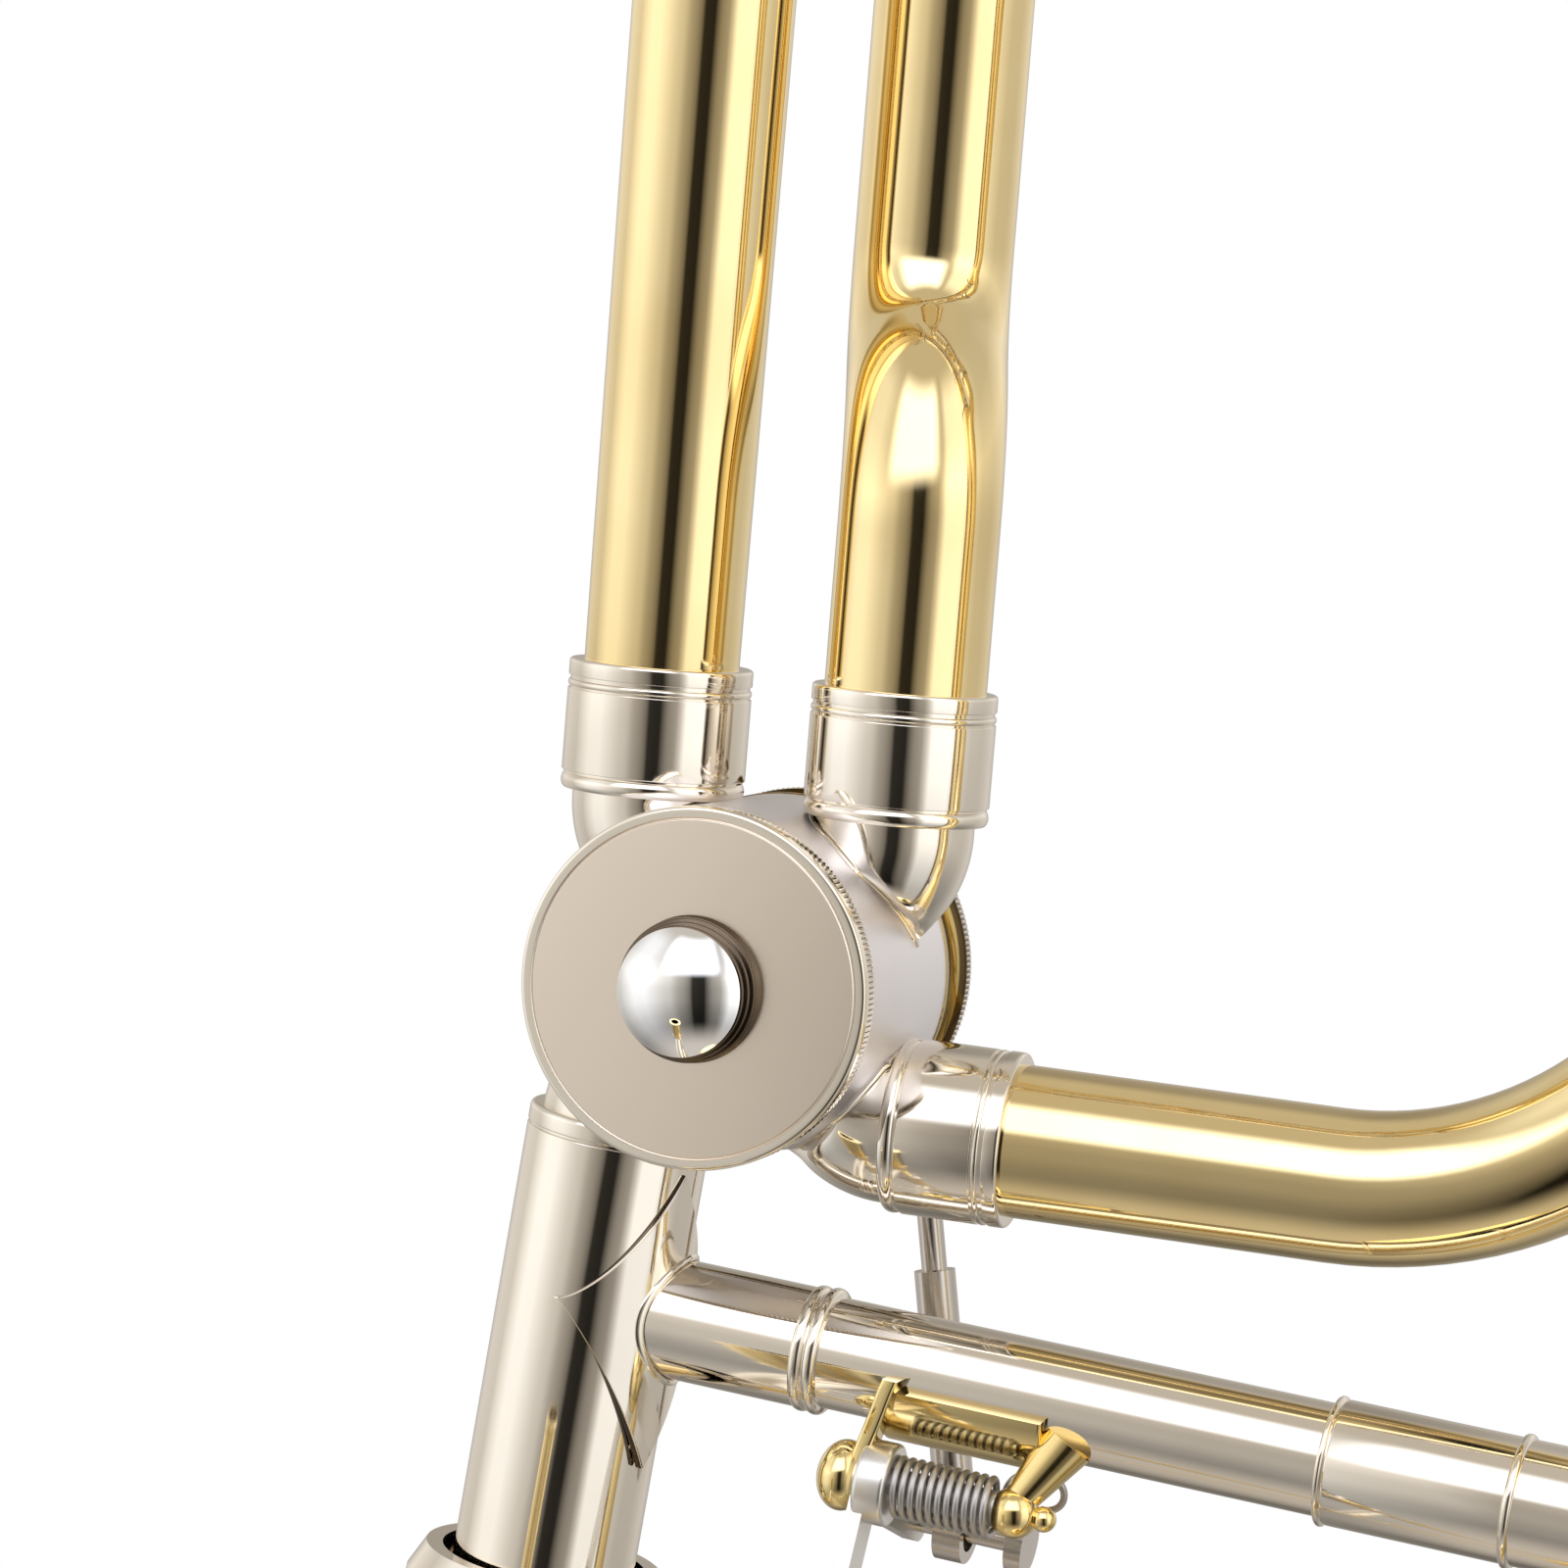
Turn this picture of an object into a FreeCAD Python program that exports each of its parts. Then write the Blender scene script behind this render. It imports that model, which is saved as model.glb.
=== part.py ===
import FreeCAD, Part
import math
import os

from FreeCAD import Placement, Rotation, Vector

# Tenor trombone with a rotor valve. The slide stands along Z on its bumper, the bell is towards +X,
# the mouthpiece leg of the slide is towards -Y, and all lengths are in millimetres.

# Hand slide
slide_length = 764.0
slide_spacing = 86.0
inner_tube_radius = 7.3
inner_tube_bore = 6.95
stocking_length = 100.0
outer_tube_radius = 8.0
outer_tube_bore = 7.55
slide_running_fit = 0.05
inner_tube_end_height = 92.0
bow_tube_radius = 8.5
bow_tube_bore = 7.5
bumper_length = 12.0
bumper_radius = 5.5
bumper_seat_length = 5.0
bumper_seat_wall = 0.9
bow_ferrule_length = 26.0
bow_ferrule_wall = 0.7
outer_top_drop = 80.0
outer_end_ferrule_length = 16.0
outer_end_ferrule_wall = 0.6
barrel_length = 30.0
barrel_wall = 1.1
barrel_clearance = 0.4
barrel_cap = 4.0
barrel_drop = 62.0
inner_sleeve_length = 34.0
inner_sleeve_wall = 1.3
inner_brace_radius = 5.6
tenon_base_length = 8.0
tenon_length = 48.0
tenon_base_radius = 8.4
tenon_tip_radius = 7.9
tenon_fit = 0.03
handle_sleeve_length = 62.0
handle_sleeve_wall = 1.0
handle_brace_radius = 5.5
handle_drop = 147.0
tube_wall_of_braces = 0.7
leadpipe_length = 190.0
leadpipe_wall = 0.35
mouthpiece_receiver_length = 44.0
mouthpiece_receiver_radius = 9.2
mouthpiece_receiver_foot = 8.2
mouthpiece_shank_radius = 6.35
mouthpiece_socket_depth = 36.0
mouthpiece_taper_ratio = 40
lock_nut_radius = 13.4
lock_nut_length = 26.0
lock_nut_lip = 3.0
lock_ring_wall = 1.5
lock_ring_length = 12.0
lock_ring_fit = 0.05
lock_tab_length = 13.0
lock_tab_width = 12.0
lock_tab_gap = 0.5
lock_peg_radius = 1.5
lock_peg_slot = 4.0
lock_peg_angle = 36.0

# Water key on the slide bow
water_nipple_radius = 4.2
water_nipple_bore = 2.4
water_nipple_height = 2.6
water_key_reach = 15.0
water_key_tail = 22.0
water_key_width = 4.0
water_key_thickness = 1.6
water_cork_radius = 4.0
water_cork_thickness = 2.4
water_post_width = 2.0
water_post_gap = 0.3
water_pin_radius = 0.8
water_pad_radius = 6.0
water_tail_rise = 7.5
water_spring_wire = 0.6
water_spring_turns = 4
water_spring_pitch = 1.05
water_spring_radius = 2.1

# Rotor valve, in its own frame: Z along the tubes that leave it backwards, Y along the rotor axis
valve_rise = 91.0
valve_offset = 10.7
neck_angle = 5.7
casing_radius = 17.2
casing_bore = 15.6
casing_half_depth = 14.2
cap_radius = 17.47
rear_ring_radius = 17.24
cap_plane = 17.6
cap_edge = 1.0
cap_groove_width = 0.3
cap_groove_depth = 0.16
cap_groove_inset = 1.1
cap_wall = 1.2
bearing_plate_thickness = 2.4
rotor_clearance = 0.06
rotor_spindle_radius = 3.2
spindle_running_fit = 0.04
port_radius = 6.9
finial_radius = 6.5
finial_neck_radius = 6.2
finial_foot_radius = 7.4
finial_neck_length = 2.9
finial_dome_height = 2.45
rear_lip_radius = 13.4
rear_lip_depth = 1.6
bore_tube_radius = 7.6
feed_tube_radius = 7.48
return_tube_radius = 7.9
knuckle_radius = 7.8
knuckle_bend_radius = 9.0
passage_wall = 0.6
port_ferrule_radius = 9.05
port_ferrule_start = 16.65
knuckle_bend_height = 15.2
port_ferrule_length = 12.8
ferrule_bead = 0.45
main_port_offset = 11.83
return_port_offset = 13.38
feed_port_drop = 12.74
feed_turn_angle = 4.0
feed_fall_angle = 1.31
feed_ferrule_start = 15.9
feed_ferrule_length = 12.0
feed_ferrule_radius = 8.6

# Stop work and linkage at the back of the valve
stud_radius = 13.9
rotor_throw = 90.0
stop_arm_thickness = 2.6
stop_arm_hub_radius = 5.4
stop_arm_gap = 0.6
link_standoff = 2.2
stop_arm_width = 5.6
stop_screw_radius = 3.0
stop_screw_head = 1.8
link_rod_radius = 1.3
link_sleeve_radius = 2.1
link_eye_radius = 3.6
link_eye_thickness = 2.6
link_sleeve_share = 0.55
link_clearance = 1.15
link_foot_length = 3.0
link_slide = 4.4
link_side_gap = 2.0
link_along = 34.0
lever_pin_radius = 1.2
lever_screw_radius = 3.2
stud_pin_radius = 1.2
stud_running_fit = 0.05
stop_plate_thickness = 1.0
bumper_cork_radius = 2.6
bumper_cork_length = 4.4
stop_cork_gap = 0.35

# Receiver, neck and the brace that carries the lever
receiver_radius = 9.09
receiver_top_drop = 16.5
receiver_rim_bead = 0.35
receiver_thread_radius = 10.2
receiver_thread_length = 12.0
receiver_foot = 12.0
brace_drop = 35.5
brace_rise_angle = 1.494
brace_radius = 5.5
brace_left_sleeve_radius = 5.95
brace_right_sleeve_radius = 6.1
brace_first_ring = 24.2
brace_second_ring = 76.4
brace_third_ring = 94.4
brace_ring_bead = 0.5
flange_half_height = 14.8
flange_thickness = 0.6
flange_waist_share = 1.35
bell_flange_radius = 12.5

# Thumb lever, hinged along the brace
hinge_drop = 10.3
hinge_forward = 6.0
hinge_start = 31.0
hinge_end = 47.5
hinge_rod_radius = 1.0
hinge_ball_radius = 2.9
saddle_start = 33.0
saddle_end = 53.0
saddle_thickness = 1.2
saddle_wrap_angle = 42.0
lever_throw = 35.8
lever_arm = 32.0
lever_plate = 1.6
lever_jog = 4.6
lever_jog_radius = 1.4
lever_width = 4.4
lever_barrel_radius = 2.9
lever_barrel_length = 3.4
lever_core_radius = 1.75
lever_running_fit = 0.05
lever_side_gap = 0.35
paddle_drop = 30.0
paddle_forward = 9.0
paddle_length = 30.0
paddle_width = 17.0
paddle_gap = 2.5
lever_spring_wire = 0.62
lever_spring_turns = 10
lever_spring_pitch = 0.95
lever_spring_radius = 2.75
lever_spring_tail = 6.0
saddle_arm_thickness = 1.8
saddle_arm_radius = 1.85

# Bell
bell_axis_offset = 122.0
bell_rim_radius = 108.0
bell_rim_drop = 330.0
bell_tail_height = 150.0
bell_flare_length = 17.8
bell_flare_power = 0.7
bell_wall = 0.6
bell_rim_wire = 2.4

# Main tuning slide
main_tube_end_radius = 8.3
main_sleeve_wall = 0.75
main_leg_fit = 0.05
main_sleeve_length = 82.0
main_leg_overlap = 74.0
tube_wall = 0.55
tuning_ferrule_length = 13.0
tuning_ferrule_wall = 0.8
tuning_gap = 0.6
tuning_brace_radius = 4.0
tuning_brace_rise = 55.0
tuning_foot_radius = 8.0
tuning_foot_wall = 0.8
tuning_slide_brace_rise = 22.0

# Valve loop
loop_bend_start = 59.2
loop_bend_radius = 39.4
return_height = 43.1
return_bend_height = 29.0
return_low_bend_share = 0.62
return_bend_angle = 46.0
return_slope_length = 3.0
return_way_angle = 110.4
loop_plane = 21.4
loop_offset_start = 96.0
loop_offset_height = 42.0
loop_sleeve_rise = 20.0
loop_sleeve_length = 142.0
loop_leg_overlap = 70.0
loop_brace_radius = 3.6
loop_slide_brace_rise = 17.0
stay_radius = 3.0

overrun = 1.0

leg_y = slide_spacing / 2
valve_height = slide_length + valve_rise
main_sleeve_top = bell_tail_height + main_sleeve_length
tuning_brace_height = bell_tail_height + tuning_brace_rise
loop_sleeve_start = bell_tail_height + loop_sleeve_rise
loop_sleeve_top = loop_sleeve_start + loop_sleeve_length
return_shift = (return_bend_height * math.tan(math.radians(return_bend_angle / 2))
                + return_slope_length * math.sin(math.radians(return_bend_angle)))
loop_return_offset = return_port_offset + return_shift * math.cos(math.radians(return_way_angle))
UP = Vector(0, 0, 1)
NORTH = Vector(0, 1, 0)
EAST = Vector(1, 0, 0)
ORIGIN = Vector(0, 0, 0)

os.makedirs("parts", exist_ok=True)


# Helpers

def save(name, *solids):
    """Write one node, which is one solid or a group of like solids."""
    shape = solids[0] if len(solids) == 1 else Part.makeCompound(list(solids))
    shape.exportStep("parts/" + name + ".step")


def moved(shape, base=ORIGIN, direction=UP, turn=0):
    """A copy of a shape made along Z, turned about Z, pointed along a direction and set at a place."""
    copy = shape.copy()
    spin = Rotation(UP, turn)
    frame = Placement(base, Rotation(UP, direction)).multiply(Placement(ORIGIN, spin))
    copy.Placement = frame.multiply(copy.Placement)
    return copy


def framed(frame, shape):
    copy = shape.copy()
    copy.Placement = frame.multiply(copy.Placement)
    return copy


def lathe(outline):
    """Solid turned about Z from (radius, height) points; four numbers are an arc's middle and end."""
    start = outline[0]
    edges = []
    here = Vector(start[0], 0, start[1])
    for step in list(outline[1:]) + [start]:
        end = Vector(step[-2], 0, step[-1])
        if len(step) == 4:
            edges.append(Part.Arc(here, Vector(step[0], 0, step[1]), end).toShape())
        elif end.distanceToPoint(here) > 0:
            edges.append(Part.LineSegment(here, end).toShape())
        here = end
    return Part.Face(Part.Wire(edges)).revolve(ORIGIN, UP, 360)


def pipe_ring(radius, bore, bottom, top):
    return lathe([(bore, bottom), (radius, bottom), (radius, top), (bore, top)])


def rod(radius, bottom, top):
    return lathe([(0, bottom), (radius, bottom), (radius, top), (0, top)])


def beaded_ring(radius, bore, bottom, top, bead):
    """Ferrule with a round bead at each end."""
    return lathe([(bore, bottom), (radius, bottom),
                  (radius + bead, bottom + bead, radius, bottom + 2 * bead),
                  (radius, top - 2 * bead), (radius + bead, top - bead, radius, top), (bore, top)])


def block(x0, x1, y0, y1, z0, z1):
    return Part.makeBox(x1 - x0, y1 - y0, z1 - z0, Vector(x0, y0, z0))


def arc_towards(start, tangent, end):
    """Arc that leaves start along tangent and reaches end."""
    chord = end.sub(start)
    half = chord.Length / 2
    along = Vector(chord).normalize()
    side = tangent.sub(along * tangent.dot(along))
    angle = tangent.getAngle(along)
    middle = (start + end) * 0.5 + side.normalize() * (half * math.tan(angle / 2))
    return Part.Arc(start, middle, end)


class Route:
    """Centre line of a tube: straight runs joined by tangent arcs."""

    def __init__(self, start, direction):
        self.here = Vector(start)
        self.aim = Vector(direction).normalize()
        self.edges = []
        self.length = 0.0

    def straight(self, length):
        end = self.here + self.aim * length
        self.edges.append(Part.LineSegment(self.here, end).toShape())
        self.here = end
        self.length += length
        return self

    def bend(self, radius, angle, towards):
        """Arc of one radius that turns by an angle in degrees towards a side direction."""
        side = (towards - self.aim * towards.dot(self.aim)).normalize()
        a = math.radians(angle)
        end = self.here + self.aim * (radius * math.sin(a)) + side * (radius * (1 - math.cos(a)))
        half = a / 2
        middle = self.here + self.aim * (radius * math.sin(half)) + side * (radius * (1 - math.cos(half)))
        self.edges.append(Part.Arc(self.here, middle, end).toShape())
        self.aim = (self.aim * math.cos(a) + side * math.sin(a)).normalize()
        self.here = end
        self.length += radius * a
        return self

    def solid(self, radius, end_radius=None):
        wire = Part.Wire(self.edges)
        first, last = self.edges[0], self.edges[-1]
        start = Part.Wire(Part.makeCircle(radius, first.valueAt(first.FirstParameter),
                                          first.tangentAt(first.FirstParameter)))
        sections = [start]
        if end_radius is not None:
            sections.append(Part.Wire(Part.makeCircle(end_radius, last.valueAt(last.LastParameter),
                                                      last.tangentAt(last.LastParameter))))
        return wire.makePipeShell(sections, True, False)

    def tube(self, radius, wall, end_radius=None):
        end_bore = None if end_radius is None else end_radius - wall
        return self.solid(radius, end_radius).cut(self.solid(radius - wall, end_bore))


def coil(radius, wire_radius, turns, pitch, first_tail, last_tail):
    """Torsion spring about Z from its first turn at height zero: one tube on quarter turn biarcs."""
    rise = pitch / (2 * math.pi)
    size = math.hypot(radius, rise)
    places = []
    tangents = []
    for quarter in range(4 * turns + 1):
        a = math.radians(90 * quarter)
        places.append(Vector(radius * math.cos(a), radius * math.sin(a), pitch * quarter / 4))
        tangents.append(Vector(-radius * math.sin(a), radius * math.cos(a), rise) * (1 / size))
    edges = [Part.LineSegment(places[0] - tangents[0] * first_tail, places[0]).toShape()]
    samples = []
    for k in range(4 * turns):
        chord = places[k + 1] - places[k]
        both = tangents[k] + tangents[k + 1]
        a2 = 2 * (1 - tangents[k].dot(tangents[k + 1]))
        reach = (-chord.dot(both) + math.sqrt(chord.dot(both) ** 2 + a2 * chord.dot(chord))) / a2
        joint = (places[k] + tangents[k] * reach + places[k + 1] - tangents[k + 1] * reach) * 0.5
        first = arc_towards(places[k], tangents[k], joint)
        second = arc_towards(places[k + 1], tangents[k + 1] * -1, joint)
        edges.append(first.toShape())
        edges.append(Part.Arc(joint, second.value((second.FirstParameter + second.LastParameter) / 2),
                              places[k + 1]).toShape())
        for edge in edges[-2:]:
            samples += edge.discretize(4)[:-1]
    edges.append(Part.LineSegment(places[-1], places[-1] + tangents[-1] * last_tail).toShape())
    per_turn = len(samples) // turns
    least = min(samples[i].distanceToPoint(samples[j]) for i in range(len(samples))
                for j in range(i + per_turn // 2, min(len(samples), i + 2 * per_turn)))
    print("spring of", turns, "turns, least gap to itself", round(least - 2 * wire_radius, 3), "mm")
    wire = Part.Wire(edges)
    start = edges[0].valueAt(edges[0].FirstParameter)
    section = Part.Wire(Part.makeCircle(wire_radius, start, tangents[0]))
    return wire.makePipeShell([section], True, False)


def bell_radius(height):
    """Outer radius of the bell at a height in the valve frame."""
    from_rim = height + bell_rim_drop
    return bell_rim_radius * (bell_flare_length / (from_rim + bell_flare_length)) ** bell_flare_power


# Frames of the valve and of the brace

VALVE = Placement(Vector(valve_offset, leg_y, valve_height), Rotation(NORTH, -neck_angle))
BRACE = Placement(Vector(0, leg_y, valve_height - brace_drop), Rotation(NORTH, -brace_rise_angle))
VALVE_FROM_BRACE = VALVE.inverse().multiply(BRACE)


def at_valve(shape):
    return framed(VALVE, shape)


def at_brace(shape):
    return framed(BRACE, shape)


def on_leg(shape, side):
    """A turned piece on a slide leg: side +1 is the bell leg, -1 the mouthpiece leg."""
    return moved(shape, Vector(0, side * leg_y, 0))


# Heights along the hand slide

bow_centre_height = bumper_length + bow_tube_radius + leg_y
outer_top = slide_length - outer_top_drop
barrel_top = slide_length - barrel_drop
barrel_bottom = barrel_top - barrel_length
barrel_inside_top = barrel_top - barrel_cap
inner_sleeve_top = slide_length - tenon_base_length
inner_sleeve_bottom = inner_sleeve_top - inner_sleeve_length
inner_brace_height = (inner_sleeve_top + inner_sleeve_bottom) / 2
handle_height = slide_length - handle_drop
outer_ferrule_radius = outer_tube_radius + outer_end_ferrule_wall
barrel_bore = outer_ferrule_radius + barrel_clearance
barrel_radius = barrel_bore + barrel_wall
outer_tube_bottom = bow_centre_height
stocking_radius = outer_tube_bore - slide_running_fit


def inner_slide():
    tube = lathe([(inner_tube_bore, inner_tube_end_height + stocking_length),
                  (inner_tube_radius, inner_tube_end_height + stocking_length),
                  (inner_tube_radius, inner_sleeve_top), (inner_tube_bore, inner_sleeve_top)])
    stocking = pipe_ring(stocking_radius, inner_tube_bore, inner_tube_end_height,
                         inner_tube_end_height + stocking_length)
    barrel = lathe([(inner_tube_radius, barrel_inside_top), (barrel_bore, barrel_inside_top),
                    (barrel_bore, barrel_bottom), (barrel_radius, barrel_bottom),
                    (barrel_radius, barrel_top - barrel_wall), (barrel_radius - barrel_wall, barrel_top),
                    (inner_tube_radius, barrel_top)])
    cork = pipe_ring(barrel_bore, inner_tube_radius, outer_top + barrel_clearance, barrel_inside_top)
    sleeve_radius = inner_tube_radius + inner_sleeve_wall
    sleeve = beaded_ring(sleeve_radius, inner_tube_radius, inner_sleeve_bottom, inner_sleeve_top,
                         ferrule_bead)
    cross = pipe_ring(inner_brace_radius, inner_brace_radius - tube_wall_of_braces, -leg_y, leg_y)
    cross = moved(cross, Vector(0, 0, inner_brace_height), NORTH)
    for side in (1, -1):
        cross = cross.cut(on_leg(rod(sleeve_radius, inner_sleeve_bottom, inner_sleeve_top), side))
    tube = tube.fuse(stocking).removeSplitter()
    save("inner_slide_tubes", on_leg(tube, 1), on_leg(tube, -1))
    save("cork_barrels", on_leg(barrel, 1), on_leg(barrel, -1))
    save("slide_corks", on_leg(cork, 1), on_leg(cork, -1))
    save("inner_brace_sleeves", on_leg(sleeve, 1), on_leg(sleeve, -1))
    save("inner_slide_brace", cross)

    base = inner_sleeve_top
    tenon = lathe([(inner_tube_bore, base), (tenon_base_radius + tenon_base_length / 4, base),
                   (tenon_base_radius + tenon_base_length / 4, base + tenon_base_length / 2),
                   (tenon_base_radius, base + tenon_base_length / 2), (tenon_base_radius, slide_length),
                   (tenon_tip_radius, slide_length + tenon_length),
                   (inner_tube_bore, slide_length + tenon_length)])
    save("slide_tenon", on_leg(tenon, 1))

    foot = base
    top = base + mouthpiece_receiver_length
    socket_foot = mouthpiece_shank_radius - mouthpiece_socket_depth / mouthpiece_taper_ratio
    receiver = lathe([(inner_tube_bore - leadpipe_wall, foot), (mouthpiece_receiver_foot + ferrule_bead, foot),
                      (mouthpiece_receiver_foot + 2 * ferrule_bead, foot + ferrule_bead,
                       mouthpiece_receiver_foot, foot + 2 * ferrule_bead),
                      (mouthpiece_receiver_radius, top - 3 * ferrule_bead),
                      (mouthpiece_receiver_radius + 2 * ferrule_bead, top - ferrule_bead,
                       mouthpiece_receiver_radius, top),
                      (mouthpiece_shank_radius, top), (socket_foot, top - mouthpiece_socket_depth),
                      (inner_tube_bore - leadpipe_wall, top - mouthpiece_socket_depth)])
    save("mouthpiece_receiver", on_leg(receiver, -1))
    leadpipe = pipe_ring(inner_tube_bore, inner_tube_bore - leadpipe_wall, foot - leadpipe_length, foot)
    save("leadpipe", on_leg(leadpipe, -1))


def lock_nut():
    bottom = slide_length + lock_nut_lip
    bore = tenon_base_radius + barrel_clearance
    lip_top = bottom + lock_nut_lip
    thread_bore = receiver_thread_radius + tenon_fit * 2
    nut = lathe([(bore, bottom), (lock_nut_radius - lock_nut_lip / 3, bottom), (lock_nut_radius, lip_top),
                 (lock_nut_radius, bottom + lock_nut_length - lock_nut_lip),
                 (lock_nut_radius - lock_nut_lip / 2, bottom + lock_nut_length),
                 (thread_bore, bottom + lock_nut_length), (thread_bore, lip_top), (bore, lip_top)])
    save("slide_lock_nut", on_leg(nut, 1))


def lock_ring():
    """Ring on the bell side barrel, whose hooked tab turns over the peg of the outer slide."""
    bore = barrel_radius + lock_ring_fit
    ring = beaded_ring(bore + lock_ring_wall, bore, barrel_bottom, barrel_bottom + lock_ring_length,
                       ferrule_bead)
    reach = bore + lock_ring_wall
    tab = block(bore, reach, -lock_tab_width / 2, lock_tab_width / 2,
                barrel_bottom - lock_tab_length, barrel_bottom + ferrule_bead)
    ring_space = pipe_ring(reach, bore, barrel_bottom - lock_tab_length, barrel_bottom + ferrule_bead)
    slot_height = barrel_bottom - lock_tab_length / 2
    slot = block(bore - overrun, reach + overrun, -lock_tab_width / 2 - overrun, lock_tab_width / 4,
                 slot_height - lock_peg_slot / 2, slot_height + lock_peg_slot / 2)
    tab = tab.common(ring_space).cut(slot)
    whole = ring.fuse(tab).removeSplitter()
    save("slide_lock_ring", on_leg(whole, 1))


def outer_slide():
    tube = pipe_ring(outer_tube_radius, outer_tube_bore, outer_tube_bottom, outer_top)
    end_ferrule = beaded_ring(outer_ferrule_radius - ferrule_bead, outer_tube_radius,
                              outer_top - outer_end_ferrule_length, outer_top, ferrule_bead)
    save("outer_slide_tubes", on_leg(tube, 1), on_leg(tube, -1))

    sleeve_radius = outer_tube_radius + handle_sleeve_wall
    low = handle_height - handle_sleeve_length / 2
    high = handle_height + handle_sleeve_length / 2
    sleeve = beaded_ring(sleeve_radius, outer_tube_radius, low, high, ferrule_bead)
    cross = pipe_ring(handle_brace_radius, handle_brace_radius - tube_wall_of_braces, -leg_y, leg_y)
    cross = moved(cross, Vector(0, 0, handle_height), NORTH)
    for side in (1, -1):
        cross = cross.cut(on_leg(rod(sleeve_radius, low, high), side))
    save("handle_sleeves", on_leg(sleeve, 1), on_leg(sleeve, -1))
    save("outer_slide_brace", cross)

    bow = Route(Vector(0, leg_y, bow_centre_height), UP * -1).bend(leg_y, 90, NORTH * -1)
    bow = bow.bend(leg_y, 90, UP)
    save("slide_bow", bow.tube(bow_tube_radius, bow_tube_radius - bow_tube_bore))
    ferrule = lathe([(outer_tube_radius, bow_centre_height), (bow_tube_radius, bow_centre_height),
                     (bow_tube_radius + bow_ferrule_wall, bow_centre_height + bow_ferrule_wall),
                     (bow_tube_radius + bow_ferrule_wall,
                      bow_centre_height + bow_ferrule_length - bow_ferrule_wall),
                     (outer_tube_radius + bow_ferrule_wall, bow_centre_height + bow_ferrule_length),
                     (outer_tube_radius, bow_centre_height + bow_ferrule_length)])

    bow_space = bow.solid(bow_tube_radius)
    seat = pipe_ring(bumper_radius + bumper_seat_wall, bumper_radius, bumper_length - bumper_seat_length,
                     bumper_length + bow_tube_radius)
    save("bumper_seat", seat.cut(bow_space))
    tip_round = bumper_radius / 4
    bumper = lathe([(0, 0), (bumper_radius - tip_round, 0), (bumper_radius, tip_round),
                    (bumper_radius, bumper_length + bow_tube_radius), (0, bumper_length + bow_tube_radius)])
    save("slide_bumper", bumper.cut(bow_space))

    peg_height = barrel_bottom - lock_tab_length / 2
    peg_end = barrel_radius + lock_ring_fit + lock_ring_wall + lock_tab_gap
    angle = math.radians(lock_peg_angle)
    peg_way = Vector(math.cos(angle), -math.sin(angle), 0)
    peg = moved(rod(lock_peg_radius, 0, peg_end), Vector(0, 0, peg_height), peg_way)
    peg = peg.cut(rod(outer_tube_radius, 0, slide_length))
    rings = [on_leg(piece, side) for piece in (end_ferrule, ferrule) for side in (1, -1)]
    save("outer_slide_ferrules", *rings, on_leg(peg, 1))


# Water key: the nipple and its lever lie beside the lowest part of the bow, towards -X

water_tilt = math.asin(water_key_reach / leg_y)
water_height = bow_centre_height - leg_y * math.cos(water_tilt)
water_lever_x = -(bow_tube_radius + water_nipple_height + water_cork_thickness)
water_axis_x = water_lever_x - water_key_thickness - water_pin_radius * 2


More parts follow.
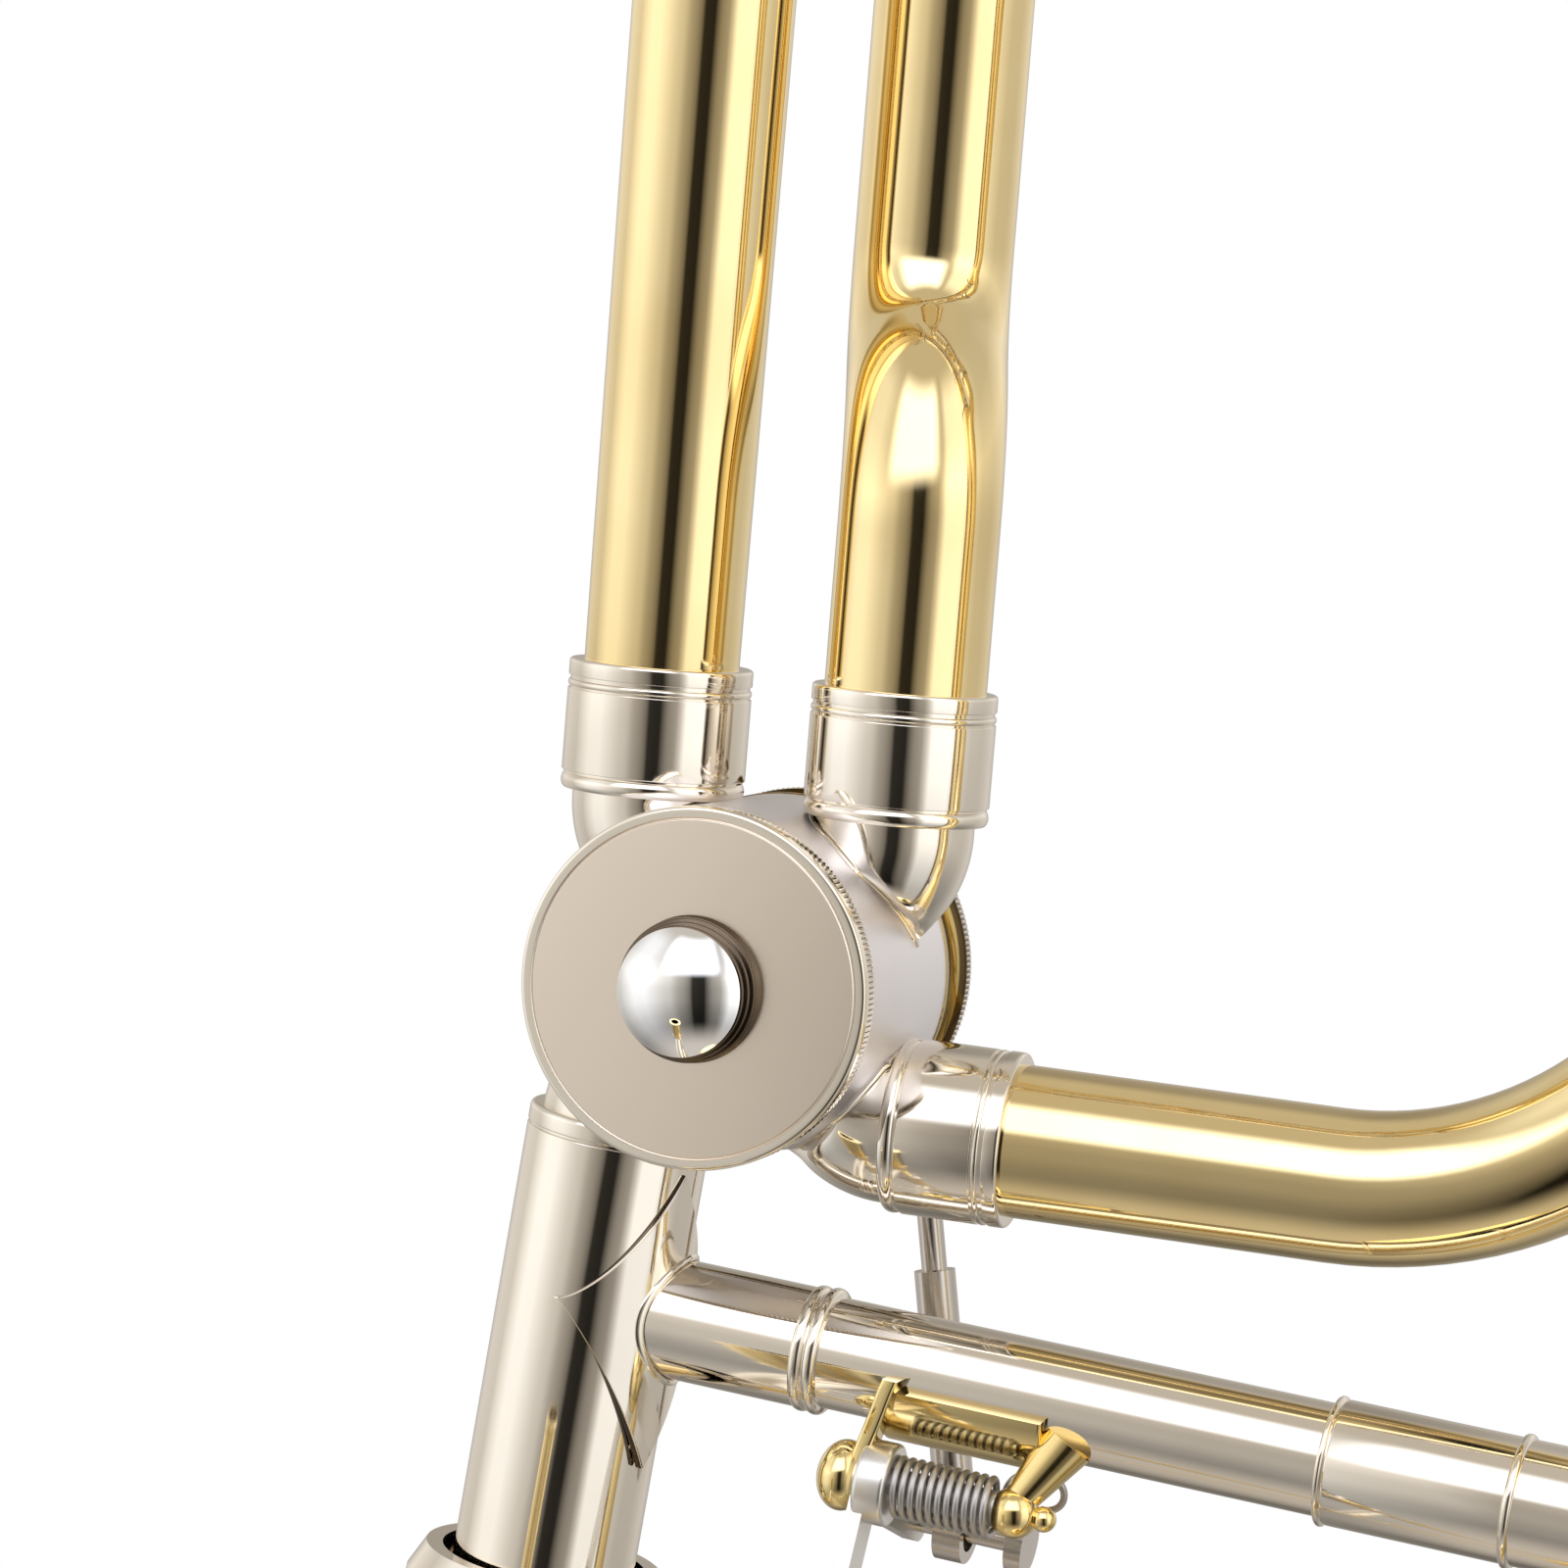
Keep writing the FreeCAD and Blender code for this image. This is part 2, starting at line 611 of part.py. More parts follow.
def water_key():
    bow_side = Vector(0, water_key_reach, water_height)
    nipple = pipe_ring(water_nipple_radius, water_nipple_bore, 0, bow_tube_radius + water_nipple_height)
    nipple = moved(nipple, bow_side, EAST * -1)
    bow = Route(Vector(0, leg_y, bow_centre_height), UP * -1).bend(leg_y, 90, NORTH * -1)
    bow_space = bow.bend(leg_y, 90, UP).solid(bow_tube_radius)
    nipple = nipple.cut(bow_space)

    cork = moved(rod(water_cork_radius, 0, water_cork_thickness),
                 bow_side + Vector(water_lever_x + water_cork_thickness, 0, 0), EAST * -1)
    save("water_key_cork", cork)

    half = water_key_width / 2
    outer_x = water_lever_x - water_key_thickness
    cup = rod(water_cork_radius, 0, water_key_thickness)
    cup = moved(cup, bow_side + Vector(water_lever_x, 0, 0), EAST * -1)
    bar = block(outer_x, water_lever_x, 0, water_key_reach, water_height - half, water_height + half)
    barrel = rod(water_pin_radius * 3, water_height - half, water_height + half)
    barrel = moved(barrel, Vector(water_axis_x, 0, 0))
    tail_way = Vector(-water_tail_rise, -water_key_tail, 0)
    tail = block(0, water_key_thickness, -half, half, 0, tail_way.Length)
    tail.Placement = Placement(Vector(outer_x, 0, water_height),
                               Rotation(EAST, UP, tail_way, "ZYX"))
    pad_place = Vector(outer_x, 0, water_height) + tail_way
    pad = moved(rod(water_pad_radius, 0, water_key_thickness),
                pad_place + Vector(water_key_thickness, 0, 0), EAST * -1)
    lever = cup.fuse([bar, barrel, tail, pad]).removeSplitter()
    pin_space = rod(water_pin_radius + lever_running_fit, water_height - 2 * half, water_height + 2 * half)
    pin_space = moved(pin_space, Vector(water_axis_x, 0, 0))
    save("water_key_lever", lever.cut(pin_space))

    post_depth = 3 * water_pin_radius
    spring_room = water_spring_pitch * water_spring_turns + 2 * water_spring_wire
    lower = water_height - half - water_post_gap
    upper = water_height + half + water_post_gap + spring_room
    posts = []
    hole = moved(rod(water_pin_radius, 0, 2 * water_height), Vector(water_axis_x, 0, 0))
    for low, high in ((lower - water_post_width, lower), (upper, upper + water_post_width)):
        plate = block(water_axis_x - post_depth, 0, -post_depth, post_depth, low, high)
        plate = plate.cut(bow_space).cut(hole)
        posts.append(min(plate.Solids, key=lambda s: s.BoundBox.XMin))
    pin = rod(water_pin_radius, lower - water_post_width, upper + water_post_width)
    save("water_key_seat", nipple, *posts, moved(pin, Vector(water_axis_x, 0, 0)))
    spring = coil(water_spring_radius, water_spring_wire / 2, water_spring_turns, water_spring_pitch,
                  water_spring_radius, water_spring_radius)
    spring_foot = water_height + half + water_post_gap + water_spring_wire
    save("water_key_spring", moved(spring, Vector(water_axis_x, 0, spring_foot)))


# Rotor valve

def feed_aim():
    turn = math.radians(feed_turn_angle)
    fall = math.radians(feed_fall_angle)
    return Vector(math.cos(turn) * math.cos(fall), math.sin(turn) * math.cos(fall), -math.sin(fall))


FEED_START = Vector(0, 0, -feed_port_drop)
FEED_AIM = feed_aim()
NECK_AIM = Vector(math.sin(math.radians(neck_angle)), 0, math.cos(math.radians(neck_angle)))
NECK_START = VALVE.inverse().multVec(Vector(0, leg_y, valve_height - receiver_top_drop))


def port_routes():
    """Centre lines of the four elbows, from the seat of each tube into the casing."""
    top = port_ferrule_start + port_ferrule_length / 2
    feed_seat = FEED_START + FEED_AIM * (feed_ferrule_start + feed_ferrule_length / 2)
    neck_half = receiver_foot / 2
    run = top - knuckle_bend_height
    starts = ((Vector(-main_port_offset, 0, top), UP * -1, run, EAST),
              (Vector(return_port_offset, 0, top), UP * -1, run, EAST * -1),
              (feed_seat, FEED_AIM * -1, feed_ferrule_length / 2, UP),
              (NECK_START - NECK_AIM * neck_half, NECK_AIM, neck_half, EAST))
    return [Route(seat, aim).straight(run).bend(knuckle_bend_radius, 45, side).straight(casing_bore / 4)
            for seat, aim, run, side in starts]


def valve():
    depth = casing_half_depth
    shell = moved(pipe_ring(casing_radius, casing_bore, -depth, depth), ORIGIN, NORTH)
    casing_space = moved(rod(casing_radius, -depth, depth), ORIGIN, NORTH)
    knuckles = []
    for route in port_routes():
        bore = route.solid(port_radius)
        shell = shell.cut(bore)
        elbow = route.solid(knuckle_radius).cut(bore).cut(casing_space)
        knuckles.append(at_valve(max(elbow.Solids, key=lambda s: s.Volume)))
    save("valve_casing", at_valve(shell))
    save("valve_knuckles", *knuckles)
    reach = port_ferrule_start + port_ferrule_length / 2
    feed_reach = feed_ferrule_start + feed_ferrule_length / 2

    ferrules = []
    for tube_radius, offset in ((bore_tube_radius, -main_port_offset),
                                (return_tube_radius, return_port_offset)):
        ferrule = beaded_ring(port_ferrule_radius, tube_radius, port_ferrule_start,
                              port_ferrule_start + port_ferrule_length, ferrule_bead)
        seat = rod(max(knuckle_radius, tube_radius), 0, reach)
        ferrules.append(moved(ferrule.cut(seat), Vector(offset, 0, 0)).cut(casing_space))
    feed_end = feed_ferrule_start + feed_ferrule_length
    feed_ferrule = lathe([(feed_tube_radius, feed_ferrule_start), (feed_ferrule_radius, feed_ferrule_start),
                          (feed_ferrule_radius + ferrule_bead, feed_ferrule_start + ferrule_bead,
                           feed_ferrule_radius, feed_ferrule_start + 2 * ferrule_bead),
                          (feed_ferrule_radius, feed_end - 4 * ferrule_bead),
                          (feed_ferrule_radius + ferrule_bead, feed_end - 3 * ferrule_bead,
                           feed_ferrule_radius, feed_end - 2 * ferrule_bead),
                          (feed_ferrule_radius + ferrule_bead, feed_end - ferrule_bead,
                           feed_ferrule_radius, feed_end),
                          (feed_tube_radius, feed_end)])
    feed_ferrule = moved(feed_ferrule.cut(rod(knuckle_radius, 0, feed_reach)), FEED_START, FEED_AIM)
    ferrules.append(feed_ferrule.cut(casing_space))
    save("port_ferrules", *[at_valve(ferrule) for ferrule in ferrules])


def valve_caps():
    """Front cap with its finial, the two bearing plates and the rear ring, all turned about Y."""
    depth = casing_half_depth
    plate_inner = depth - bearing_plate_thickness
    plate = pipe_ring(casing_bore, rotor_spindle_radius + spindle_running_fit, plate_inner, depth)
    save("bearing_plates", at_valve(moved(plate, ORIGIN, NORTH * -1)), at_valve(moved(plate, ORIGIN, NORTH)))

    groove = cap_radius - cap_groove_inset
    cap = lathe([(0, depth), (cap_radius, depth), (cap_radius, cap_plane - cap_edge),
                 (cap_radius - cap_edge / 3, cap_plane - cap_edge / 3, cap_radius - cap_edge, cap_plane),
                 (groove, cap_plane), (groove - cap_groove_width / 2, cap_plane - cap_groove_depth),
                 (groove - cap_groove_width, cap_plane), (0, cap_plane)])
    hollow = rod(casing_bore, depth - overrun, cap_plane - cap_wall)
    cap = cap.cut(hollow)
    neck_top = cap_plane + finial_neck_length
    top = neck_top + finial_dome_height
    sphere = (finial_radius ** 2 + finial_dome_height ** 2) / (2 * finial_dome_height)
    half_angle = math.asin(finial_radius / sphere) / 2
    finial = lathe([(0, cap_plane), (finial_foot_radius, cap_plane), (finial_neck_radius, neck_top),
                    (finial_radius, neck_top),
                    (sphere * math.sin(half_angle), top - sphere * (1 - math.cos(half_angle)), 0, top)])
    save("front_valve_cap", at_valve(moved(cap, ORIGIN, NORTH * -1)))
    save("cap_finial", at_valve(moved(finial, ORIGIN, NORTH * -1)))

    ring = lathe([(rear_lip_radius, depth), (rear_ring_radius, depth),
                  (rear_ring_radius, cap_plane - cap_edge / 2), (rear_ring_radius - cap_edge / 2, cap_plane),
                  (rear_lip_radius + rear_lip_depth, cap_plane),
                  (rear_lip_radius, cap_plane - rear_lip_depth / 2)])
    save("rear_valve_ring", at_valve(moved(ring, ORIGIN, NORTH)))


def rotor():
    half = casing_half_depth - bearing_plate_thickness - rotor_clearance
    body = moved(rod(casing_bore - rotor_clearance, -half, half), ORIGIN, NORTH)
    turn_radius = (port_radius + passage_wall) / (math.sqrt(2) - 1)
    for side in (1, -1):
        centre = Vector(side * turn_radius * math.sqrt(2), 0, 0)
        body = body.cut(Part.makeTorus(turn_radius, port_radius, centre, NORTH))
    front = moved(rod(rotor_spindle_radius, 0, casing_half_depth), ORIGIN, NORTH * -1)
    back = moved(rod(rotor_spindle_radius, 0, stop_arm_plane + stop_arm_thickness), ORIGIN, NORTH)
    core = body.fuse([front.cut(moved(rod(casing_bore, 0, half / 2), ORIGIN, NORTH * -1)),
                      back.cut(moved(rod(casing_bore, 0, half / 2), ORIGIN, NORTH))])
    save("rotor", at_valve(core.removeSplitter()))


stop_arm_plane = cap_plane + stop_plate_thickness + stop_arm_gap
stud_angle = -rotor_throw / 2
rod_plane = stop_arm_plane + stop_arm_thickness + link_standoff + link_eye_thickness / 2
stop_radius = (stop_arm_hub_radius + rear_ring_radius) / 2


def stop_work():
    """Stop arm on the rotor spindle with its stud and lug, and the plate with two corks on the casing."""
    far = stop_arm_thickness + overrun
    hub = pipe_ring(stop_arm_hub_radius, rotor_spindle_radius, 0, stop_arm_thickness)
    half = stop_arm_width / 2
    arm = block(-stop_radius - half, stud_radius, -half, half, 0, stop_arm_thickness)
    tip = moved(rod(half, 0, stop_arm_thickness), Vector(stud_radius, 0, 0))
    arm = arm.fuse([tip, hub]).cut(rod(rotor_spindle_radius, -overrun, far)).removeSplitter()
    arm = arm.cut(moved(rod(stud_pin_radius, -overrun, far), Vector(stud_radius, 0, 0)))
    stud_length = stop_arm_thickness + link_standoff + link_eye_thickness + stop_arm_gap
    head = rod(stop_screw_radius, stud_length, stud_length + stop_screw_head)
    stud = rod(stud_pin_radius, 0, stud_length).fuse(head)
    stud = moved(stud.removeSplitter(), Vector(stud_radius, 0, 0))
    screw_radius = stop_screw_radius + stud_pin_radius
    screw = rod(screw_radius, stop_arm_thickness, stop_arm_thickness + stop_screw_head / 2)
    outward = Placement(Vector(0, stop_arm_plane, 0), Rotation(EAST, -90))
    frame = VALVE.multiply(outward).multiply(Placement(ORIGIN, Rotation(UP, -stud_angle)))
    save("stop_arm", framed(frame, arm))
    save("rotor_screws", framed(frame, stud), framed(frame, screw))

    corks = []
    lug_angle = math.degrees((half + bumper_cork_radius + stop_cork_gap) / stop_radius)
    plate_reach = rotor_throw / 2 + lug_angle + math.degrees(bumper_cork_radius / stop_radius)
    for sign in (1, -1):
        a = math.radians(180 + sign * (rotor_throw / 2 + lug_angle))
        place = Vector(stop_radius * math.cos(a), cap_plane + stop_plate_thickness, stop_radius * math.sin(a))
        corks.append(at_valve(moved(rod(bumper_cork_radius, 0, bumper_cork_length), place, NORTH)))
    outer = rear_ring_radius - cap_edge / 2
    inner = stop_arm_hub_radius + stop_arm_gap
    plate = lathe([(inner, 0), (outer, 0), (outer, stop_plate_thickness), (inner, stop_plate_thickness)])
    wedge = Part.makeCylinder(rear_ring_radius, stop_plate_thickness, ORIGIN, UP, 2 * plate_reach)
    plate = plate.common(wedge)
    plate_frame = Placement(Vector(0, cap_plane, 0), Rotation(EAST, -90))
    plate_frame = plate_frame.multiply(Placement(ORIGIN, Rotation(UP, 180 - plate_reach)))
    save("stop_plate", at_valve(framed(plate_frame, plate)))
    save("stop_corks", *corks)


def linkage():
    """Rod from the stud down to the lever, with an eye at each end; its lower eye is the open pivot."""
    stud = link_top()
    foot = link_foot()
    aim = (foot - stud).normalize()
    length = foot.distanceToPoint(stud)
    eye_frame = Rotation(EAST, -90)
    upper = pipe_ring(link_eye_radius, stud_pin_radius + stud_running_fit,
                      -link_eye_thickness / 2, link_eye_thickness / 2)
    upper = framed(Placement(stud, eye_frame), upper)
    lower = pipe_ring(link_eye_radius, lever_pin_radius + link_clearance,
                      -link_foot_length / 2, link_foot_length / 2)
    brace_way = VALVE_FROM_BRACE.Rotation.multVec(EAST)
    lower = moved(lower, foot, brace_way)
    sleeve_start = length * (1 - link_sleeve_share)
    thin = moved(rod(link_rod_radius, 0, sleeve_start), stud, aim)
    eye_space = rod(link_eye_radius, -link_foot_length, link_foot_length)
    thin = thin.cut(framed(Placement(stud, eye_frame), eye_space))
    thick = moved(rod(link_sleeve_radius, sleeve_start, length), stud, aim)
    thick = thick.cut(moved(eye_space, foot, brace_way))
    save("link_eyes", at_valve(upper), at_valve(lower))
    save("link_rod", at_valve(thin.fuse(thick).removeSplitter()))


def link_top():
    a = math.radians(stud_angle)
    return Vector(stud_radius * math.cos(a), rod_plane, stud_radius * math.sin(a))


def lever_pivot(angle):
    """Centre of the lever's link pin in the brace frame, with the lever arm at an angle above level."""
    a = math.radians(angle)
    return Vector(link_along, lever_arm * math.cos(a) - hinge_forward, lever_arm * math.sin(a) - hinge_drop)


def link_foot():
    """Centre of the lower eye at rest, in the valve frame, in the plane of the rod."""
    place = VALVE_FROM_BRACE.multVec(lever_pivot(-lever_throw / 2))
    return Vector(place.x, rod_plane, place.z)


# Receiver and brace

def receiver():
    top = valve_height - receiver_top_drop
    foot = slide_length + receiver_foot
    socket_top = slide_length + tenon_length + receiver_foot / 6
    slope = (tenon_base_radius - tenon_tip_radius) / tenon_length
    foot_bore = tenon_base_radius - slope * receiver_foot + tenon_fit
    tip_bore = tenon_tip_radius - slope * (socket_top - slide_length - tenon_length) + tenon_fit
    thread_top = foot + receiver_thread_length
    body = lathe([(foot_bore, foot), (receiver_thread_radius, foot), (receiver_thread_radius, thread_top),
                  (receiver_radius, thread_top + receiver_thread_radius - receiver_radius),
                  (receiver_radius, top - 2 * receiver_rim_bead),
                  (receiver_radius + receiver_rim_bead, top - receiver_rim_bead, receiver_radius, top),
                  (knuckle_radius, top), (knuckle_radius, top - receiver_foot / 2),
                  (knuckle_radius - passage_wall, socket_top), (tip_bore, socket_top)])
    casing_space = moved(rod(casing_radius, -casing_half_depth, casing_half_depth), ORIGIN, NORTH)
    save("slide_receiver", on_leg(body, 1).cut(at_valve(casing_space)))


def pointed_edge(radius, half_height):
    """Edge of the pointed flange seen along the brace: its height falls with the angle round the tube."""
    count = 9
    quarter = []
    for k in range(count + 1):
        share = k / count
        height = half_height * (1 - share) ** flange_waist_share
        quarter.append(Vector(0, radius * math.sin(share * math.pi / 2), height))
    return quarter


def receiver_flange():
    """Thin pointed plate wrapped half way round the receiver, under the end of the brace."""
    outer = receiver_radius + flange_thickness
    quarter = pointed_edge(outer, flange_half_height)
    edges = []
    for y_sign, z_sign in ((1, 1), (1, -1), (-1, -1), (-1, 1)):
        points = [Vector(0, p.y * y_sign, p.z * z_sign) for p in quarter]
        if y_sign * z_sign < 0:
            points.reverse()
        curve = Part.BSplineCurve()
        curve.interpolate(points)
        edges.append(curve.toShape())
    face = Part.Face(Part.Wire(Part.sortEdges(edges)[0]))
    prism = face.extrude(Vector(outer + overrun, 0, 0))
    shell = pipe_ring(outer, receiver_radius, -flange_half_height, flange_half_height)
    plate = prism.common(shell)
    brace_hole = moved(rod(brace_left_sleeve_radius, 0, 2 * outer), ORIGIN, EAST)
    plate = framed(Placement(BRACE.Base, Rotation()), plate).cut(at_brace(brace_hole))
    return plate


def bell_surface_solid(extra, low, high):
    """Solid of the bell's outer shape grown by a little, between two heights of the valve frame."""
    steps = 12
    places = [low + (high - low) * k / steps for k in range(steps + 1)]
    curve = Part.BSplineCurve()
    curve.interpolate([Vector(bell_radius(z) + extra, 0, z) for z in places])
    first, last = Vector(0, 0, low), Vector(0, 0, high)
    edges = [Part.LineSegment(first, curve.StartPoint).toShape(), curve.toShape(),
             Part.LineSegment(curve.EndPoint, last).toShape(), Part.LineSegment(last, first).toShape()]
    solid = Part.Face(Part.Wire(edges)).revolve(ORIGIN, UP, 360)
    return moved(solid, Vector(bell_axis_offset, 0, 0))


def bell_brace():
    """Brace from the receiver to the bell: tube, thicker end sleeves with beads, and the bell flange."""
    end = bell_axis_offset
    low = -brace_drop - 3 * bell_flange_radius
    high = 0
    bell_space = at_valve(bell_surface_solid(0, low, high))
    neck_space = on_leg(rod(receiver_radius, slide_length, valve_height), 1)
    bore = brace_radius - tube_wall_of_braces

    def cleared(shape):
        cut = at_brace(shape).cut(neck_space).cut(bell_space)
        return min(cut.Solids, key=lambda s: s.BoundBox.XMin)

    middle = moved(pipe_ring(brace_radius, bore, 0, 2 * end), ORIGIN, EAST)
    save("bell_brace", cleared(middle))
    bead = brace_ring_bead
    left = lathe([(brace_radius, 0), (brace_left_sleeve_radius, 0),
                  (brace_left_sleeve_radius, brace_first_ring - 2 * bead),
                  (brace_left_sleeve_radius + bead, brace_first_ring - bead,
                   brace_left_sleeve_radius, brace_first_ring), (brace_radius, brace_first_ring)])
    right = lathe([(brace_radius, brace_second_ring - 2 * bead),
                   (brace_right_sleeve_radius, brace_second_ring - 2 * bead),
                   (brace_right_sleeve_radius + bead, brace_second_ring - bead,
                    brace_right_sleeve_radius, brace_second_ring),
                   (brace_right_sleeve_radius, brace_third_ring - 2 * bead),
                   (brace_right_sleeve_radius + bead, brace_third_ring - bead,
                    brace_right_sleeve_radius, brace_third_ring),
                   (brace_right_sleeve_radius, 2 * end), (brace_radius, 2 * end)])
    save("brace_sleeves", cleared(moved(left, ORIGIN, EAST)), cleared(moved(right, ORIGIN, EAST)))

    plate_space = at_valve(bell_surface_solid(flange_thickness * 2, low, high))
    disc = at_brace(moved(rod(bell_flange_radius, end - 2 * bell_flange_radius, end), ORIGIN, EAST))
    disc = disc.common(plate_space).cut(bell_space)
    disc = disc.cut(at_brace(moved(rod(brace_right_sleeve_radius, 0, 2 * end), ORIGIN, EAST)))
    save("brace_flanges", receiver_flange(), min(disc.Solids, key=lambda s: s.BoundBox.XMin))


# Thumb lever and its saddle

def bar_between(first, second, radius):
    way = second - first
    return moved(rod(radius, 0, way.Length), first, way)


def lever_saddle():
    """Channel soldered to the brace with two arms, and the hinge rod between its round ends."""
    inner = brace_radius
    outer = brace_radius + saddle_thickness
    shell = lathe([(inner, saddle_start), (outer, saddle_start), (outer, saddle_end), (inner, saddle_end)])
    wedge = Part.makeCylinder(2 * outer, saddle_end - saddle_start, Vector(0, 0, saddle_start), UP,
                              2 * saddle_wrap_angle)
    lean = math.degrees(math.atan2(hinge_forward, hinge_drop))
    spun = Placement(ORIGIN, Rotation(UP, -lean - saddle_wrap_angle))
    along = Placement(ORIGIN, Rotation(NORTH, 90))
    shell = framed(along, shell.common(framed(spun, wedge)))
    centre = Vector(0, -hinge_forward, -hinge_drop)
    brace_space = moved(rod(inner, 0, 2 * saddle_end), ORIGIN, EAST)
    half = saddle_arm_thickness / 2
    edge = math.radians(lean + saddle_wrap_angle)
    front = Vector(0, -(outer - half) * math.sin(edge), -(outer - half) * math.cos(edge))
    left_root = front + Vector(saddle_start + saddle_arm_radius, 0, 0)
    right_root = front + Vector(saddle_end - saddle_arm_radius, 0, 0)
    left_end = centre + Vector(hinge_start, 0, 0)
    right_end = centre + Vector(hinge_end, 0, 0)
    knee = left_end + Vector(0, 0, hinge_ball_radius + saddle_arm_radius / 2)
    arms = [bar_between(left_root, knee, saddle_arm_radius), bar_between(knee, left_end, saddle_arm_radius),
            bar_between(right_root, right_end, saddle_arm_radius)]
    arms += [Part.makeSphere(saddle_arm_radius, joint) for joint in (knee, left_root, right_root)]
    balls = [Part.makeSphere(hinge_ball_radius, left_end), Part.makeSphere(hinge_ball_radius, right_end)]
    inside = block(hinge_start + half, hinge_end - half, centre.y - 2 * hinge_ball_radius,
                   centre.y + 2 * hinge_ball_radius, centre.z - 2 * hinge_ball_radius,
                   centre.z + hinge_ball_radius + lever_side_gap)
    whole = shell.fuse(arms).fuse(balls).cut(brace_space).cut(inside)
    whole = whole.cut(moved(rod(hinge_rod_radius, 0, 2 * saddle_end), centre, EAST)).removeSplitter()
    save("lever_saddle", at_brace(max(whole.Solids, key=lambda s: s.Volume)))
    hinge = rod(hinge_rod_radius, hinge_start - hinge_ball_radius, hinge_end + hinge_ball_radius)
    save("hinge_rod", at_brace(moved(hinge, centre, EAST)))


def thumb_lever():
    """One piece on the hinge rod: barrel, arm to the link at the back, strip down to the thumb paddle."""
    half = saddle_arm_thickness / 2
    start = hinge_start + half + lever_side_gap
    barrel = rod(lever_barrel_radius, start, start + lever_barrel_length)
    core = rod(lever_core_radius, start, hinge_end - half - lever_side_gap)
    centre = Vector(0, -hinge_forward, -hinge_drop)
    barrel = moved(barrel.fuse(core), centre, EAST)

    rest = -lever_throw / 2
    plate_end = start + lever_plate
    arm_end = link_along - link_foot_length / 2 - link_side_gap
    arm_start = arm_end - lever_plate
    arm = block(arm_start, arm_end, lever_jog, lever_arm, -lever_width / 2, lever_width / 2)
    eye = moved(rod(lever_width / 2, arm_start, arm_end), Vector(0, lever_arm, 0), EAST)
    jog = moved(rod(lever_jog_radius, arm_start, plate_end), Vector(0, lever_jog, 0), EAST)
    root = block(start, plate_end, 0, lever_jog, -lever_jog_radius, lever_jog_radius)
    arm = arm.fuse([eye, jog, root])
    arm.Placement = Placement(centre, Rotation(EAST, rest))

    strip = block(start, plate_end, -lever_width / 2, lever_width / 2, -paddle_drop, 0)
    strip.Placement = Placement(centre, Rotation(EAST, -math.degrees(math.atan2(paddle_forward, paddle_drop))))
    paddle = lever_paddle(centre)
    pivot = lever_pivot(rest)
    pivot.x = 0
    pin = moved(rod(lever_pin_radius, arm_start, pin_end()), pivot, EAST)
    whole = barrel.fuse([arm, strip, paddle])
    whole = whole.cut(moved(rod(hinge_rod_radius + lever_running_fit, 0, 2 * saddle_end), centre, EAST))
    whole = whole.cut(moved(rod(lever_pin_radius, 0, 2 * saddle_end), pivot, EAST))
    save("thumb_lever", at_brace(whole.removeSplitter()))
    head = moved(rod(lever_screw_radius, pin_end(), pin_end() + stop_screw_head), pivot, EAST)
    save("lever_link_screw", at_brace(pin.fuse(head).removeSplitter()))


def pin_end():
    """Far end of the link screw's shank: room for the lower eye to slide along it."""
    return link_along + link_foot_length / 2 + link_slide + lever_side_gap


def lever_paddle(centre):
    """Dished oval pad for the thumb at the end of the strip, reaching towards the player."""
    lean = math.degrees(math.atan2(paddle_forward, paddle_drop))
    flat = rod(paddle_length / 2, 0, lever_plate)
    squeeze = FreeCAD.Matrix()
    squeeze.scale(Vector(1, paddle_width / paddle_length, 1))
    flat = flat.transformGeometry(squeeze)
    place = centre + Vector(lock_nut_radius + paddle_length / 2 + paddle_gap, 0, 0)
    offset = Placement(Vector(0, -lever_width / 2, -paddle_drop), Rotation(EAST, 90))
    frame = Placement(place, Rotation(EAST, -lean)).multiply(offset)
    return framed(frame, flat)


def lever_spring():
    half = saddle_arm_thickness / 2
    start = hinge_start + half + lever_side_gap + lever_barrel_length + lever_spring_wire
    wound = coil(lever_spring_radius, lever_spring_wire / 2, lever_spring_turns, lever_spring_pitch,
                 lever_spring_tail, lever_spring_tail)
    centre = Vector(start, -hinge_forward, -hinge_drop)
    save("lever_spring", at_brace(moved(wound, centre, EAST)))


# Bell

def bell():
    steps = 26
    top = bell_tail_height
    span = top + bell_rim_drop
    heights = [-bell_rim_drop + span * (k / steps) ** 2 for k in range(steps + 1)]
    outer = [Vector(bell_radius(z), 0, z) for z in heights]
    inner = [Vector(bell_radius(z) - bell_wall, 0, z) for z in heights]
    curves = []
    for points in (outer, inner):
        curve = Part.BSplineCurve()
        curve.interpolate(points)
        curves.append(curve.toShape())
    edges = [curves[0], curves[1], Part.LineSegment(outer[0], inner[0]).toShape(),
             Part.LineSegment(outer[-1], inner[-1]).toShape()]
    wall = Part.Face(Part.Wire(Part.sortEdges(edges)[0])).revolve(ORIGIN, UP, 360)
    place = Vector(bell_axis_offset, 0, 0)
    rim_centre = Vector(bell_axis_offset, 0, -bell_rim_drop)
    rim = Part.makeTorus(bell_rim_radius - bell_rim_wire, bell_rim_wire, rim_centre, UP)
    wall = moved(wall, place)
    save("bell", at_valve(wall))
    rim = rim.cut(bell_surface_solid(0, -bell_rim_drop, -bell_rim_drop + 4 * bell_rim_wire))
    save("bell_rim_wire", at_valve(max(rim.Solids, key=lambda s: s.Volume)))


# Main tuning slide

